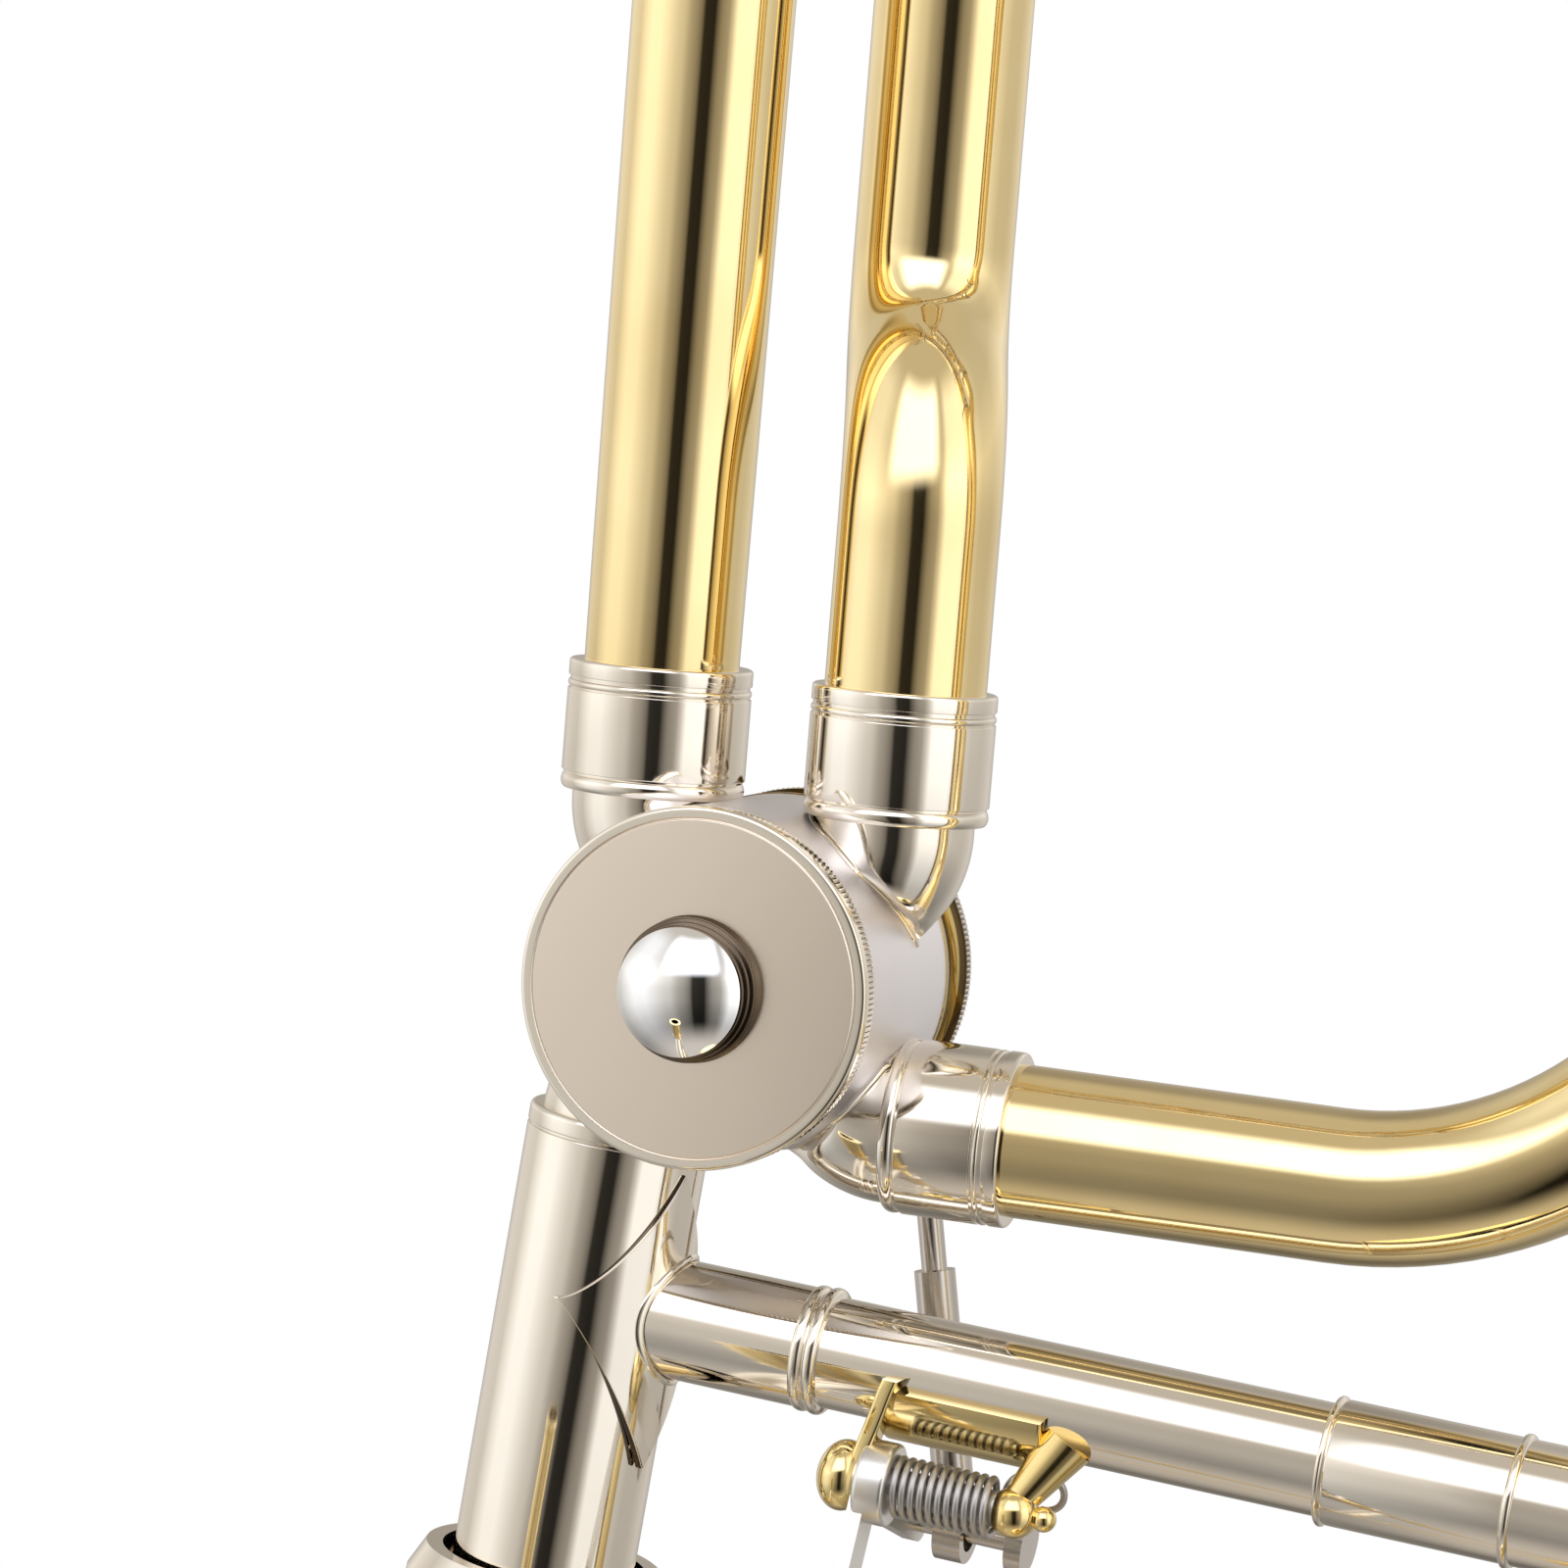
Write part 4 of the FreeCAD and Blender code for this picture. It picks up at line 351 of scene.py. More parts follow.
class Shape:
    """Points and faces of one piece, gathered in the row frame."""

    def __init__(self, place):
        self.place = place
        self.points, self.faces, self.finish = [], [], []

    def add(self, points, faces, place=None, finish=0):
        first = len(self.points)
        frame_here = self.place @ place if place is not None else self.place
        self.points += [frame_here @ Vector(p) for p in points]
        self.faces += [[first + i for i in face] for face in faces]
        self.finish += [finish] * len(faces)
        return self

    def rings(self, rows, place=None, finish=0, closed=False):
        """Skin over rows of points, each row a closed ring; closed joins the last row to the first."""
        count = len(rows[0])
        points = [p for row in rows for p in row]
        faces = []
        for i in range(len(rows) if closed else len(rows) - 1):
            low, high = i * count, (i + 1) % len(rows) * count
            for k in range(count):
                m = (k + 1) % count
                faces.append([low + k, low + m, high + m, high + k])
        return self.add(points, faces, place, finish)

    def lathe(self, outline, place=None, finish=0, closed=True, count=96):
        rows = [[(r * math.cos(a), r * math.sin(a), z) for a in circle(count)] for r, z in outline]
        return self.rings(rows, place, finish, closed)

    def tube(self, route, radius, end_radius=None, place=None, finish=0, count=72, wall=0.0):
        """Tube along a route, with round open ends of a wall thickness, or capped without one."""
        points = route.points
        lengths = [0.0]
        for a, b in zip(points, points[1:]):
            lengths.append(lengths[-1] + (b[0] - a[0]).length)
        end_radius = radius if end_radius is None else end_radius
        side = points[0][1].orthogonal().normalized()
        rows, inner = [], []
        for i, (centre, aim) in enumerate(points):
            if i:
                side = points[i - 1][1].rotation_difference(aim) @ side
            other = aim.cross(side)
            size = radius + (end_radius - radius) * lengths[i] / lengths[-1]
            for kept, r in ((rows, size), (inner, size - wall)):
                kept.append([centre + (side * math.cos(a) + other * math.sin(a)) * r for a in circle(count)])
        if wall > 0:
            return self.rings(rows + inner[::-1], place, finish, closed=True)
        rows.insert(0, [points[0][0]] * count)
        rows.append([points[-1][0]] * count)
        return self.rings(rows, place, finish)

    def ball(self, spot, radius, half=24, squeeze=1.0):
        """Ball in a frame of its own, squeezed along the frame's Z."""
        outline = [(radius * math.sin(math.pi * k / half), -squeeze * radius * math.cos(math.pi * k / half))
                   for k in range(half + 1)]
        return self.lathe(outline, spot, 0, False, 2 * half)

    def piece(self, name, body, finishes, slot, replaces=(), sharp=40):
        """Makes the Blender object, smooth but for its real edges, and ties it to its body."""
        mesh = bpy.data.meshes.new(name)
        made = bmesh.new()
        corners = [made.verts.new(p) for p in self.points]
        for face, finish in zip(self.faces, self.finish):
            try:
                made.faces.new([corners[i] for i in face]).material_index = finish
            except ValueError:
                continue
        bmesh.ops.remove_doubles(made, verts=made.verts, dist=SAME_PLACE)
        bmesh.ops.recalc_face_normals(made, faces=made.faces)
        made.to_mesh(mesh)
        made.free()
        for finish in finishes:
            mesh.materials.append(material(finish))
        mesh.shade_smooth()
        mesh.set_sharp_from_angle(angle=math.radians(sharp))
        thing = bpy.data.objects.new(name, mesh)
        bpy.context.scene.collection.objects.link(thing)
        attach(thing, body)
        if replaces:
            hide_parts(*replaces)
        return thing


# Finishes

def node(tree, kind, settings=None, inputs=None):
    """Adds a node; an input is a socket to join or a value to set, by its name or number."""
    made = tree.nodes.new(kind)
    for key, value in (settings or {}).items():
        setattr(made, key, value)
    for key, value in (inputs or {}).items():
        if isinstance(value, bpy.types.NodeSocket):
            tree.links.new(value, made.inputs[key])
        else:
            made.inputs[key].default_value = value
    return made


# Each metal: the colour by which handling and polish tint it, its roughness, how far fine scratches spread
# that, the depth of its hand polished waves in millimetres, and its clear coat. Its clean colour is a setting
METALS = {
    # Yellow brass tube, drawn, buffed and lacquered: warm pale gold with long soft reflections
    "lacquered_brass": ("#DFC182", 0.045, 0.04, 0.0012, 0.2),
    # Nickel silver, buffed and plated: near mirror with a warm white tint
    "polished_nickel": ("#DFD5C4", 0.05, 0.05, 0.0012, 0.0),
    # The front cap's face, lapped flat: an even warm grey that hides what it reflects
    "lapped_nickel": ("#F1E4D4", 0.25, 0.02, 0.0, 0.0),
    # The casing's skin, fine blasted and plated: a pale, nearly white sheen
    "blasted_nickel": ("#EBE8EC", 0.42, 0.04, 0.0, 0.0),
    # Chrome on the finial and the inner slide: cool and the sharpest mirror of all
    "chrome": ("#ECEBEA", 0.02, 0.02, 0.0006, 0.0),
    # The lever's saddle, gold plated: deeper yellow, soft edges
    "gilded_brass": ("#E3BF6E", 0.07, 0.06, 0.001, 0.0),
    # Painted shade on nickel silver, in the valleys of the milled edges, round the dome's neck and along the
    # pointed flange's edges: brown black
    "tarnished_nickel": ("#40362C", 0.16, 0.10, 0.0, 0.0),
    # Brass turned bare at the casing's back edge, gone brown
    "tarnished_brass": ("#5A4828", 0.05, 0.05, 0.0008, 0.0),
    # Painted shade in the cove of that turned edge: nearly black
    "smoked_brass": ("#271D12", 0.08, 0.05, 0.0008, 0.0),
    # Bare steel of the link: greyer and finely brushed
    "brushed_steel": ("#B5ADA4", 0.16, 0.10, 0.0008, 0.0),
}

# Sizes of the patterns in millimetres: patches where hands have been, waves left by the polishing wheel,
# grains and pores of cork, and specks of chalky dust
HANDLED_PATCH = 22.2222
POLISH_WAVE = 9.0909
CORK_GRAIN = 1.11111
CORK_PORE = 1.42857
DUST = 3.125

# Polishing scratches and blasting grit are finer than this, and are drawn as coarse as they need to show
SCRATCH = 0.192308
GRIT = 0.384615


def pattern(tree, kind, size, place, **more):
    """Noise or cells of a size in millimetres."""
    return node(tree, kind, None, {"Vector": place, "Scale": 1000 / size, **more}).outputs[0]


def metal_tree(tree, shader, name):
    """Metal with handled patches, lengthwise scratches, polished waves and, where it is matt, grit."""
    handled, rough, spread, wave, coat = METALS[name]
    clean = (*getattr(bpy.context.scene.trombone.finish, name), 1)
    matt, grime_share, coat_roughness, stretch, grit_depth = 0.2, 0.4, 0.03, 0.06, 4e-6
    place = node(tree, "ShaderNodeTexCoord").outputs["Object"]
    patches = pattern(tree, "ShaderNodeTexNoise", HANDLED_PATCH, place, Detail=3.0)
    long_way = node(tree, "ShaderNodeMapping", None, {"Vector": place, "Scale": (1.0, 1.0, stretch)})
    scratch = pattern(tree, "ShaderNodeTexNoise", SCRATCH, long_way.outputs[0], Detail=2.0, Roughness=0.7)
    grime = node(tree, "ShaderNodeMapRange", None, {0: patches, 1: 0.45, 2: 0.75, 3: 0.0, 4: grime_share})
    tint = node(tree, "ShaderNodeMix", {"data_type": "RGBA"},
                {0: grime.outputs[0], 6: clean, 7: srgb(handled)})
    streak = node(tree, "ShaderNodeMath", {"operation": "MULTIPLY"}, {0: scratch, 1: patches})
    dull = node(tree, "ShaderNodeMapRange", None,
                {0: streak.outputs[0], 1: 0.15, 2: 0.45, 3: rough, 4: rough + spread})
    tree.links.new(tint.outputs[2], shader.inputs["Base Color"])
    tree.links.new(dull.outputs[0], shader.inputs["Roughness"])
    shader.inputs["Metallic"].default_value = 1.0
    if coat:
        shader.inputs["Coat Weight"].default_value = coat
        shader.inputs["Coat Roughness"].default_value = coat_roughness
    if wave or rough > matt:
        waves = pattern(tree, "ShaderNodeTexNoise", POLISH_WAVE, place, Detail=1.0)
        pits = pattern(tree, "ShaderNodeTexNoise", GRIT, place, Detail=2.0)
        first = node(tree, "ShaderNodeBump", None,
                     {"Height": waves, "Strength": 1.0, "Distance": wave / 1000})
        fine = node(tree, "ShaderNodeBump", None,
                    {"Height": pits, "Strength": 1.0, "Distance": max(rough - matt, 0) * grit_depth,
                     "Normal": first.outputs[0]})
        tree.links.new(fine.outputs[0], shader.inputs["Normal"])


def grain_tree(tree, shader, colours, shade, height, lift, rough):
    """Two colours mixed by a pattern over a surface lifted by another."""
    tint = node(tree, "ShaderNodeMix", {"data_type": "RGBA"},
                {0: shade, 6: srgb(colours[0]), 7: srgb(colours[1])})
    raised = node(tree, "ShaderNodeBump", None, {"Height": height, **lift})
    tree.links.new(tint.outputs[2], shader.inputs["Base Color"])
    tree.links.new(raised.outputs[0], shader.inputs["Normal"])
    shader.inputs["Roughness"].default_value = rough


def cork_tree(tree, shader):
    """Pressed cork: brown grains with dark pores."""
    place = node(tree, "ShaderNodeTexCoord").outputs["Object"]
    grain = pattern(tree, "ShaderNodeTexVoronoi", CORK_GRAIN, place)
    pores = pattern(tree, "ShaderNodeTexNoise", CORK_PORE, place, Detail=4.0)
    grain_tree(tree, shader, ("#C49A6C", "#7E5836"), pores, grain,
               {"Strength": 0.6, "Distance": 0.0002}, 0.85)


def rubber_tree(tree, shader):
    """Moulded black rubber, chalky where it has stood on the floor."""
    place = node(tree, "ShaderNodeTexCoord").outputs["Object"]
    dust = pattern(tree, "ShaderNodeTexNoise", DUST, place, Detail=5.0)
    grain_tree(tree, shader, ("#1B1A19", "#3A3835"), dust, dust, {"Strength": 0.5, "Distance": 0.0001}, 0.7)


def material(name):
    """The finish of that name, made once. The frame brings spring_steel, the dark grey of oiled wire, and
    plated_lever, the even satin of cast and plated metal, and both are used as they come."""
    if name in bpy.data.materials:
        return bpy.data.materials[name]
    made = bpy.data.materials.new(name)
    made.use_nodes = True
    tree = made.node_tree
    shader = tree.nodes["Principled BSDF"]
    if name in METALS:
        metal_tree(tree, shader, name)
    elif name == "pressed_cork":
        cork_tree(tree, shader)
    elif name == "moulded_rubber":
        rubber_tree(tree, shader)
    else:
        raise ValueError("no finish named " + name)
    return made


SHARP_EDGE = math.radians(35)


def dress(finish, *names):
    """Gives CAD nodes that keep their own shape a finish."""
    for name in names:
        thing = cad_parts[name]
        thing.data.materials.clear()
        thing.data.materials.append(material(finish))
        thing.data.set_sharp_from_angle(angle=SHARP_EDGE)


# Stage: camera as in the photograph, floor, lamp and a sky that is a plain studio

def camera_axes(context):
    """Right, up and back of the camera in the valve's frame, and its place there."""
    t = sizes(context, "stage")
    a, e, r = t.camera_azimuth, t.camera_elevation, t.camera_roll
    back = Vector((math.sin(a) * math.cos(e), -math.cos(a) * math.cos(e), math.sin(e)))
    right = Vector((math.cos(a), math.sin(a), 0))
    up = back.cross(right)
    turned = right * math.cos(r) + up * math.sin(r)
    raised = up * math.cos(r) - right * math.sin(r)
    return turned, raised, back, Vector((t.aim_x, 0, t.aim_z)) + back * t.camera_distance


# The lamp's width, its place and the point that it faces, in metres
LAMP_WIDTH = 1.2
LAMP_PLACE = Vector((-0.5, -0.9, 2.4))
LAMP_AIM = Vector((0.05, 0, 0.7))


def make_camera(context):
    right, up, back, spot = camera_axes(context)
    place = valve_frame(context)
    turn = place.to_3x3().normalized()
    axes = Matrix((turn @ right, turn @ up, turn @ back)).transposed().to_4x4()
    data = bpy.data.cameras.new("camera")
    data.lens = context.scene.trombone.stage.camera_lens
    data.sensor_width = 36
    data.clip_start = 0.01
    thing = bpy.data.objects.new("camera", data)
    context.scene.collection.objects.link(thing)
    thing.matrix_world = Matrix.Translation(place @ spot) @ axes
    context.scene.camera = thing


# Brightness round the studio: degrees from the camera to the right, and the light that a mirror sees there
ROUND = ((-180, 0.34), (-172, 0.40), (-160, 0.60), (-146, 0.72), (-118, 0.66), (-106, 0.86), (-92, 1.08),
         (-74, 1.10), (-60, 0.92), (-47, 0.74), (-38, 0.66), (-29, 0.44), (-20, 0.32), (-14, 0.20),
         (-10, 0.03), (4, 0.02), (8, 0.14), (14, 0.30), (24, 0.42), (30, 0.75), (37, 1.35), (62, 1.40),
         (78, 0.86), (95, 0.66), (118, 0.62), (146, 0.72), (160, 0.60), (172, 0.40), (180, 0.34))

# How the walls fall off with height: degrees above the camera's level, and the share of their light
HEIGHTS = ((-60, 0.34), (-44, 0.42), (-30, 0.6), (-14, 0.92), (0, 1.05), (12, 1.35), (30, 1.0), (60, 0.92))

# The brightest value that those two tables may hold
BRIGHTEST = 1.5

# Colours of light: the tent over the walls, the softbox, the table below, and what lights matt pieces
TENT = (0.62, 0.575, 0.51, 1)
SOFTBOX = (2.25, 2.3, 2.5, 1)
TABLE = (0.64, 0.59, 0.53, 1)
ROOM = (0.80, 0.79, 0.77, 1)
WHITE = (1, 1, 1, 1)

# Where each starts, is full, is full still and ends, in degrees
WALLS_HEIGHT = (-95, -94, 44, 66)
SOFTBOX_SIDE = (-58, -40, 14, 30)
SOFTBOX_HEIGHT = (11, 24, 50, 66)
TABLE_HEIGHT = (-95, -94, -76, -40)


def ramp(tree, source, stops, reach, tinted=False):
    """Brightness over an angle, from stops of both; a tinted one is warmer where it is dim."""
    share = node(tree, "ShaderNodeMapRange", None, {0: source, 1: -reach, 2: reach, 3: 0.0, 4: 1.0})
    made = node(tree, "ShaderNodeValToRGB", None, {0: share.outputs[0]})
    bar = made.color_ramp
    while len(bar.elements) > 1:
        bar.elements.remove(bar.elements[-1])
    for i, (spot, value) in enumerate(stops):
        at = (spot + reach) / (2 * reach)
        stop = bar.elements[0] if i == 0 else bar.elements.new(at)
        stop.position = at
        cool = min(value, 1.1) / 1.1 if tinted else 1
        level = value / BRIGHTEST
        stop.color = (level, level * (0.90 + 0.10 * cool), level * (0.76 + 0.24 * cool), 1)
    return node(tree, "ShaderNodeVectorMath", {"operation": "SCALE"},
                {0: made.outputs["Color"], "Scale": BRIGHTEST}).outputs[0]


def make_world(context):
    """White for the camera; for mirrors, walls with a softbox above and a table below; else an even room."""
    right, up, back, spot = camera_axes(context)
    turn = valve_frame(context).to_3x3().normalized()
    world = bpy.data.worlds.new("studio")
    context.scene.world = world
    world.use_nodes = True
    tree = world.node_tree
    tree.nodes.clear()
    way = node(tree, "ShaderNodeTexCoord").outputs["Generated"]

    def along(axis):
        return node(tree, "ShaderNodeVectorMath", {"operation": "DOT_PRODUCT"},
                    {0: way, 1: turn @ axis}).outputs["Value"]

    def math_node(kind, a, b=0.0):
        return node(tree, "ShaderNodeMath", {"operation": kind}, {0: a, 1: b}).outputs[0]

    def mix(share, a, b):
        return node(tree, "ShaderNodeMix", {"data_type": "RGBA"}, {0: share, 6: a, 7: b}).outputs[2]

    def window(value, edges):
        sides = [node(tree, "ShaderNodeMapRange", {"interpolation_type": "SMOOTHSTEP"},
                      {0: value, 1: first, 2: last, 3: start, 4: 1.0 - start}).outputs[0]
                 for first, last, start in ((*edges[:2], 0.0), (*edges[2:], 1.0))]
        return math_node("MULTIPLY", *sides)

    degree = 180 / math.pi
    side = math_node("MULTIPLY", math_node("ARCTAN2", along(right), along(back)), degree)
    height = math_node("MULTIPLY", math_node("ARCSINE", along(up)), degree)
    walls = ramp(tree, side, ROUND, 180, tinted=True)
    falling = ramp(tree, height, HEIGHTS, 90)
    shaded = node(tree, "ShaderNodeMix", {"data_type": "RGBA", "blend_type": "MULTIPLY"},
                  {0: 1.0, 6: walls, 7: falling}).outputs[2]
    level = mix(window(height, WALLS_HEIGHT), TENT, shaded)
    box = math_node("MULTIPLY", window(side, SOFTBOX_SIDE), window(height, SOFTBOX_HEIGHT))
    lit = mix(box, level, SOFTBOX)
    table = mix(window(height, TABLE_HEIGHT), lit, TABLE)
    rays = node(tree, "ShaderNodeLightPath")
    seen = mix(rays.outputs["Is Glossy Ray"], ROOM, table)
    white = math_node("MAXIMUM", rays.outputs["Is Camera Ray"], rays.outputs["Is Transmission Ray"])
    sky = node(tree, "ShaderNodeBackground", None, {"Color": mix(white, seen, WHITE), "Strength": 1.0})
    node(tree, "ShaderNodeOutputWorld", None, {"Surface": sky.outputs[0]})


def make_floor(context):
    half = sizes(context, "stage").floor_width / 2
    mesh = bpy.data.meshes.new("floor")
    corners = ((-1, -1), (1, -1), (1, 1), (-1, 1))
    mesh.from_pydata([MM @ Vector((x * half, y * half, 0)) for x, y in corners], [], [(0, 1, 2, 3)])
    thing = bpy.data.objects.new("floor", mesh)
    context.scene.collection.objects.link(thing)
    paint = bpy.data.materials.new("matt_paper")
    paint.use_nodes = True
    shader = paint.node_tree.nodes["Principled BSDF"]
    shader.inputs["Base Color"].default_value = (*context.scene.trombone.finish.matt_paper, 1)
    shader.inputs["Roughness"].default_value = 0.9
    mesh.materials.append(paint)
    thing.visible_glossy = False


def make_lamp(context):
    """Round soft lamp high on the left, which mirrors don't show."""
    data = bpy.data.lights.new("overhead_lamp", "AREA")
    data.shape, data.size, data.energy = "DISK", LAMP_WIDTH, context.scene.trombone.stage.lamp_power
    lamp = bpy.data.objects.new("overhead_lamp", data)
    context.scene.collection.objects.link(lamp)
    lamp.location = LAMP_PLACE
    lamp.rotation_mode = "QUATERNION"
    lamp.rotation_quaternion = (LAMP_AIM - lamp.location).to_track_quat("-Z", "Y")
    lamp.visible_glossy = False


# Rotor valve

def knurl(shape, radius, start, end, v, place, finish, dark, gaps=(2,)):
    """Milled edge: straight teeth round a band, rounded off at its ends, some faces of each tooth painted dark
    as shade in its valleys.
    """
    face_count, row_count = 5, 6
    end_roundness, top_roundness = 0.35, 0.6
    rows = []
    for k in range(row_count + 1):
        rise = math.sin(math.pi * (0.08 + 0.84 * k / row_count)) ** end_roundness
        rows.append([])
        for a in circle(v.knurl_count * face_count):
            tooth = rise * (0.5 + 0.5 * math.cos(v.knurl_count * a)) ** top_roundness
            r = radius - v.knurl_depth * (1 - tooth)
            rows[-1].append((r * math.cos(a), r * math.sin(a), start + (end - start) * k / row_count))
    first = len(shape.faces)
    shape.rings(rows, place, finish)
    # Faces in the gaps between teeth get the dark finish: painted shade
    for i in range(first, len(shape.faces)):
        if (i - first) % face_count in gaps:
            shape.finish[i] = dark
    inward = 1 - 3 * v.knurl_depth / radius
    for row in (rows[0], rows[-1]):
        shape.rings([row, [(x * inward, y * inward, z) for x, y, z in row]], place, finish)


def cap_piece(context):
    """Front cap: a lapped face inside a turned groove, a rounded corner and a milled edge."""
    v = sizes(context, "valve")
    groove_half, groove_depth, groove_round = 0.15, 0.16, 0.08
    gap, undercut = 0.05, 0.25
    groove = v.cap_radius - v.cap_groove
    inner, outer = groove - groove_half, groove + groove_half
    corner = v.cap_radius - outer
    made = Shape(valve_frame(context))
    face = [(0, v.cap_plane), (inner, v.cap_plane), (groove, v.cap_plane - groove_depth),
            (outer, v.cap_plane)]
    made.lathe(rounded(face, groove_round, False), FRONT, 0, False, 192)
    edge = [(outer, v.cap_plane), (v.cap_radius, v.cap_plane, corner),
            (v.cap_radius, v.cap_plane - 1.1 * corner),
            (v.cap_radius - undercut, v.cap_plane - 1.15 * corner), (v.cap_radius - undercut, v.casing_half)]
    made.lathe(rounded(edge, 0, False, 10), FRONT, 1, False, 192)
    # Milled edge, its valleys painted dark as shade
    knurl(made, v.cap_radius, v.casing_half + 2 * gap, v.cap_plane - 1.2 * corner, v, FRONT, 1, 2)
    back = v.casing_half + gap
    made.lathe([(v.cap_radius - v.knurl_depth, back), (v.casing_radius - 3, back)], FRONT, 1, False)
    made.piece("front_cap", "bell_section", ("lapped_nickel", "polished_nickel", "tarnished_nickel"),
               "nickel_silver", ("front_valve_cap",), 30)


def dome_piece(context):
    """Finial on the cap: a polished dome over a neck of three rings, painted dark as shade."""
    v = sizes(context, "valve")
    steps, ring_count, ring_step, ring_spread, groove, round_height = 24, 3, 0.85, 0.3, 0.45, 0.5
    foot = v.cap_plane + v.dome_foot
    sphere = (v.dome_radius ** 2 + v.dome_height ** 2) / (2 * v.dome_height)
    half = math.asin(v.dome_radius / sphere)
    cover = [(sphere * math.sin(half * k / steps),
              foot + v.dome_height - sphere * (1 - math.cos(half * k / steps))) for k in range(steps + 1)]
    rim = [(v.dome_radius, foot), (v.dome_radius - 0.05, foot - 0.2), (v.dome_radius - 0.4, foot - 0.25)]
    neck = []
    for k in range(ring_count):
        high, wide = foot - 0.25 - ring_step * k, v.dome_radius + 0.12 + ring_spread * k
        neck += [(wide - groove, high)]
        neck += bump(high - 0.15, high - 0.15 - round_height, wide - 0.1, 0.15, 6)
        neck += [(wide - groove, high - 0.3 - round_height)]
    made = Shape(valve_frame(context))
    made.lathe(cover + rim, FRONT, 0, False, 160)
    # The neck's rings are painted dark as shade
    made.lathe(neck + [(v.dome_radius + 0.9, v.cap_plane)], FRONT, 1, False, 160)
    made.piece("dome", "bell_section", ("chrome", "tarnished_nickel"), "nickel_silver", ("cap_finial",), 50)


def casing_piece(context):
    """Casing with a turned band at its back edge: a lip, a cove with rings painted nearly black as shade, and
    a second lip.
    """
    v = sizes(context, "valve")
    count, steps, gap, lip_height, lip_out, cove_in = 160, 14, 0.02, 0.9, 0.12, 0.1
    # Faces of the band, in its cove and at the cove's end, painted nearly black as shade
    cove_shade_rings = (11, 12, 13, 16)
    radius = v.casing_radius
    front, back = gap - v.casing_half, v.casing_half - v.cove_length
    ring = v.cap_plane - v.ring_width
    start, end = back + lip_height, ring - 0.2
    made = Shape(valve_frame(context))
    made.lathe([(radius - 1.4, front), (radius, front), (radius, back)], BACK, 0, False, count)
    band = [(radius, back), (radius + lip_out, back + 0.1), (radius + lip_out, back + 0.6),
            (radius - cove_in, start)]
    for k in range(1, steps):
        hollow = v.cove_depth * math.sin(math.pi * k / steps)
        band.append((radius - cove_in - hollow, start + (end - start) * k / steps))
    band += [(radius + 0.15, end), (radius + 0.1, ring)]
    first = len(made.faces)
    made.lathe(band, BACK, 1, False, count)
    for k in cove_shade_rings:
        for i in range(first + count * k, first + count * (k + 1)):
            made.finish[i] = 2
    made.piece("casing", "bell_section", ("blasted_nickel", "tarnished_brass", "smoked_brass"),
               "nickel_silver", ("valve_casing",))


def rear_ring_piece(context):
    """Milled ring that closes the casing's back, with wide gaps between its teeth painted dark as shade."""
    v = sizes(context, "valve")
    edge, shoulder, hole, step = 0.5, 15, 13.4, 0.8
    radius = v.casing_radius
    made = Shape(valve_frame(context))
    # Two faces of each tooth's valley painted dark as shade
    knurl(made, radius + 0.25, v.cap_plane - v.ring_width, v.cap_plane - edge, v, BACK, 0, 1, (2, 3))
    face = [(radius - 0.1, v.cap_plane - edge - 0.05), (radius, v.cap_plane, edge),
            (shoulder, v.cap_plane, 0.2), (hole, v.cap_plane - step), (hole, v.casing_half)]
    made.lathe(rounded(face, 0.1, False), BACK, 0, False, 160)
    made.piece("rear_ring", "bell_section", ("polished_nickel", "tarnished_nickel"), "nickel_silver",
               ("rear_valve_ring",))


def elbow(shape, start, aim, outer, v):
    """Knuckle: a short bent tube from a ferrule to the casing, where it ends in a point on its outer side."""
    radius, casing, bend = v.knuckle_radius, v.casing_radius, v.elbow_bend
    count, steps, search_step, halvings = 128, 40, 0.1, 12
    flank_shape, point_sharpness = 0.85, 11
    out = aim.normalized()
    away = (outer - out * outer.dot(out)).normalized()
    across = out.cross(away).normalized()
    level = (out - NORTH * out.y).normalized()
    middle = start.dot(away) - bend
    turn_at = start.dot(out) - math.sqrt(casing ** 2 - middle ** 2)

    def spot(a, run):
        """Place on the bent tube, a run down one of its lines."""
        first = start + (away * math.cos(a) + across * math.sin(a)) * radius - out * min(run, turn_at)
        swing = (run - turn_at) / (bend + radius) if run > turn_at else 0
        reach = max(bend + radius * math.cos(a), 0)
        return first - away * reach * (1 - math.cos(swing)) - out * reach * math.sin(swing)

    def outside(a, run):
        here = spot(a, run)
        return math.hypot(here.x, here.z) > casing

    feet, hits = [], []
    for a in circle(count):
        low, run, longest = 0.0, 0.0, turn_at + (bend + radius) * math.pi / 2
        while run < longest and outside(a, run):
            low, run = run, run + search_step
        for k in range(halvings):
            half = (low + run) / 2
            if outside(a, half):
                low = half
            else:
                run = half
        hits.append(run)
        feet.append(spot(a, run))
    side = feet[count // 4]
    wide = math.atan2(side.dot(level), side.dot(away))
    rows = [[] for k in range(steps + 1)]
    for i, a in enumerate(circle(count)):
        foot = feet[i]
        if math.cos(a) > 0:
            turn = v.elbow_tip + (wide - v.elbow_tip) * abs(math.sin(a)) ** flank_shape
            foot = (away * math.cos(turn) + level * math.sin(turn)) * casing
            foot.y = feet[i].y
        move = foot - feet[i]
        feet[i] = foot
        for k in range(steps + 1):
            rows[k].append(spot(a, hits[i] * k / steps) + move * (k / steps) ** point_sharpness)
    shape.rings(rows)
    elbow_lip(shape, feet, v.lip_wire)


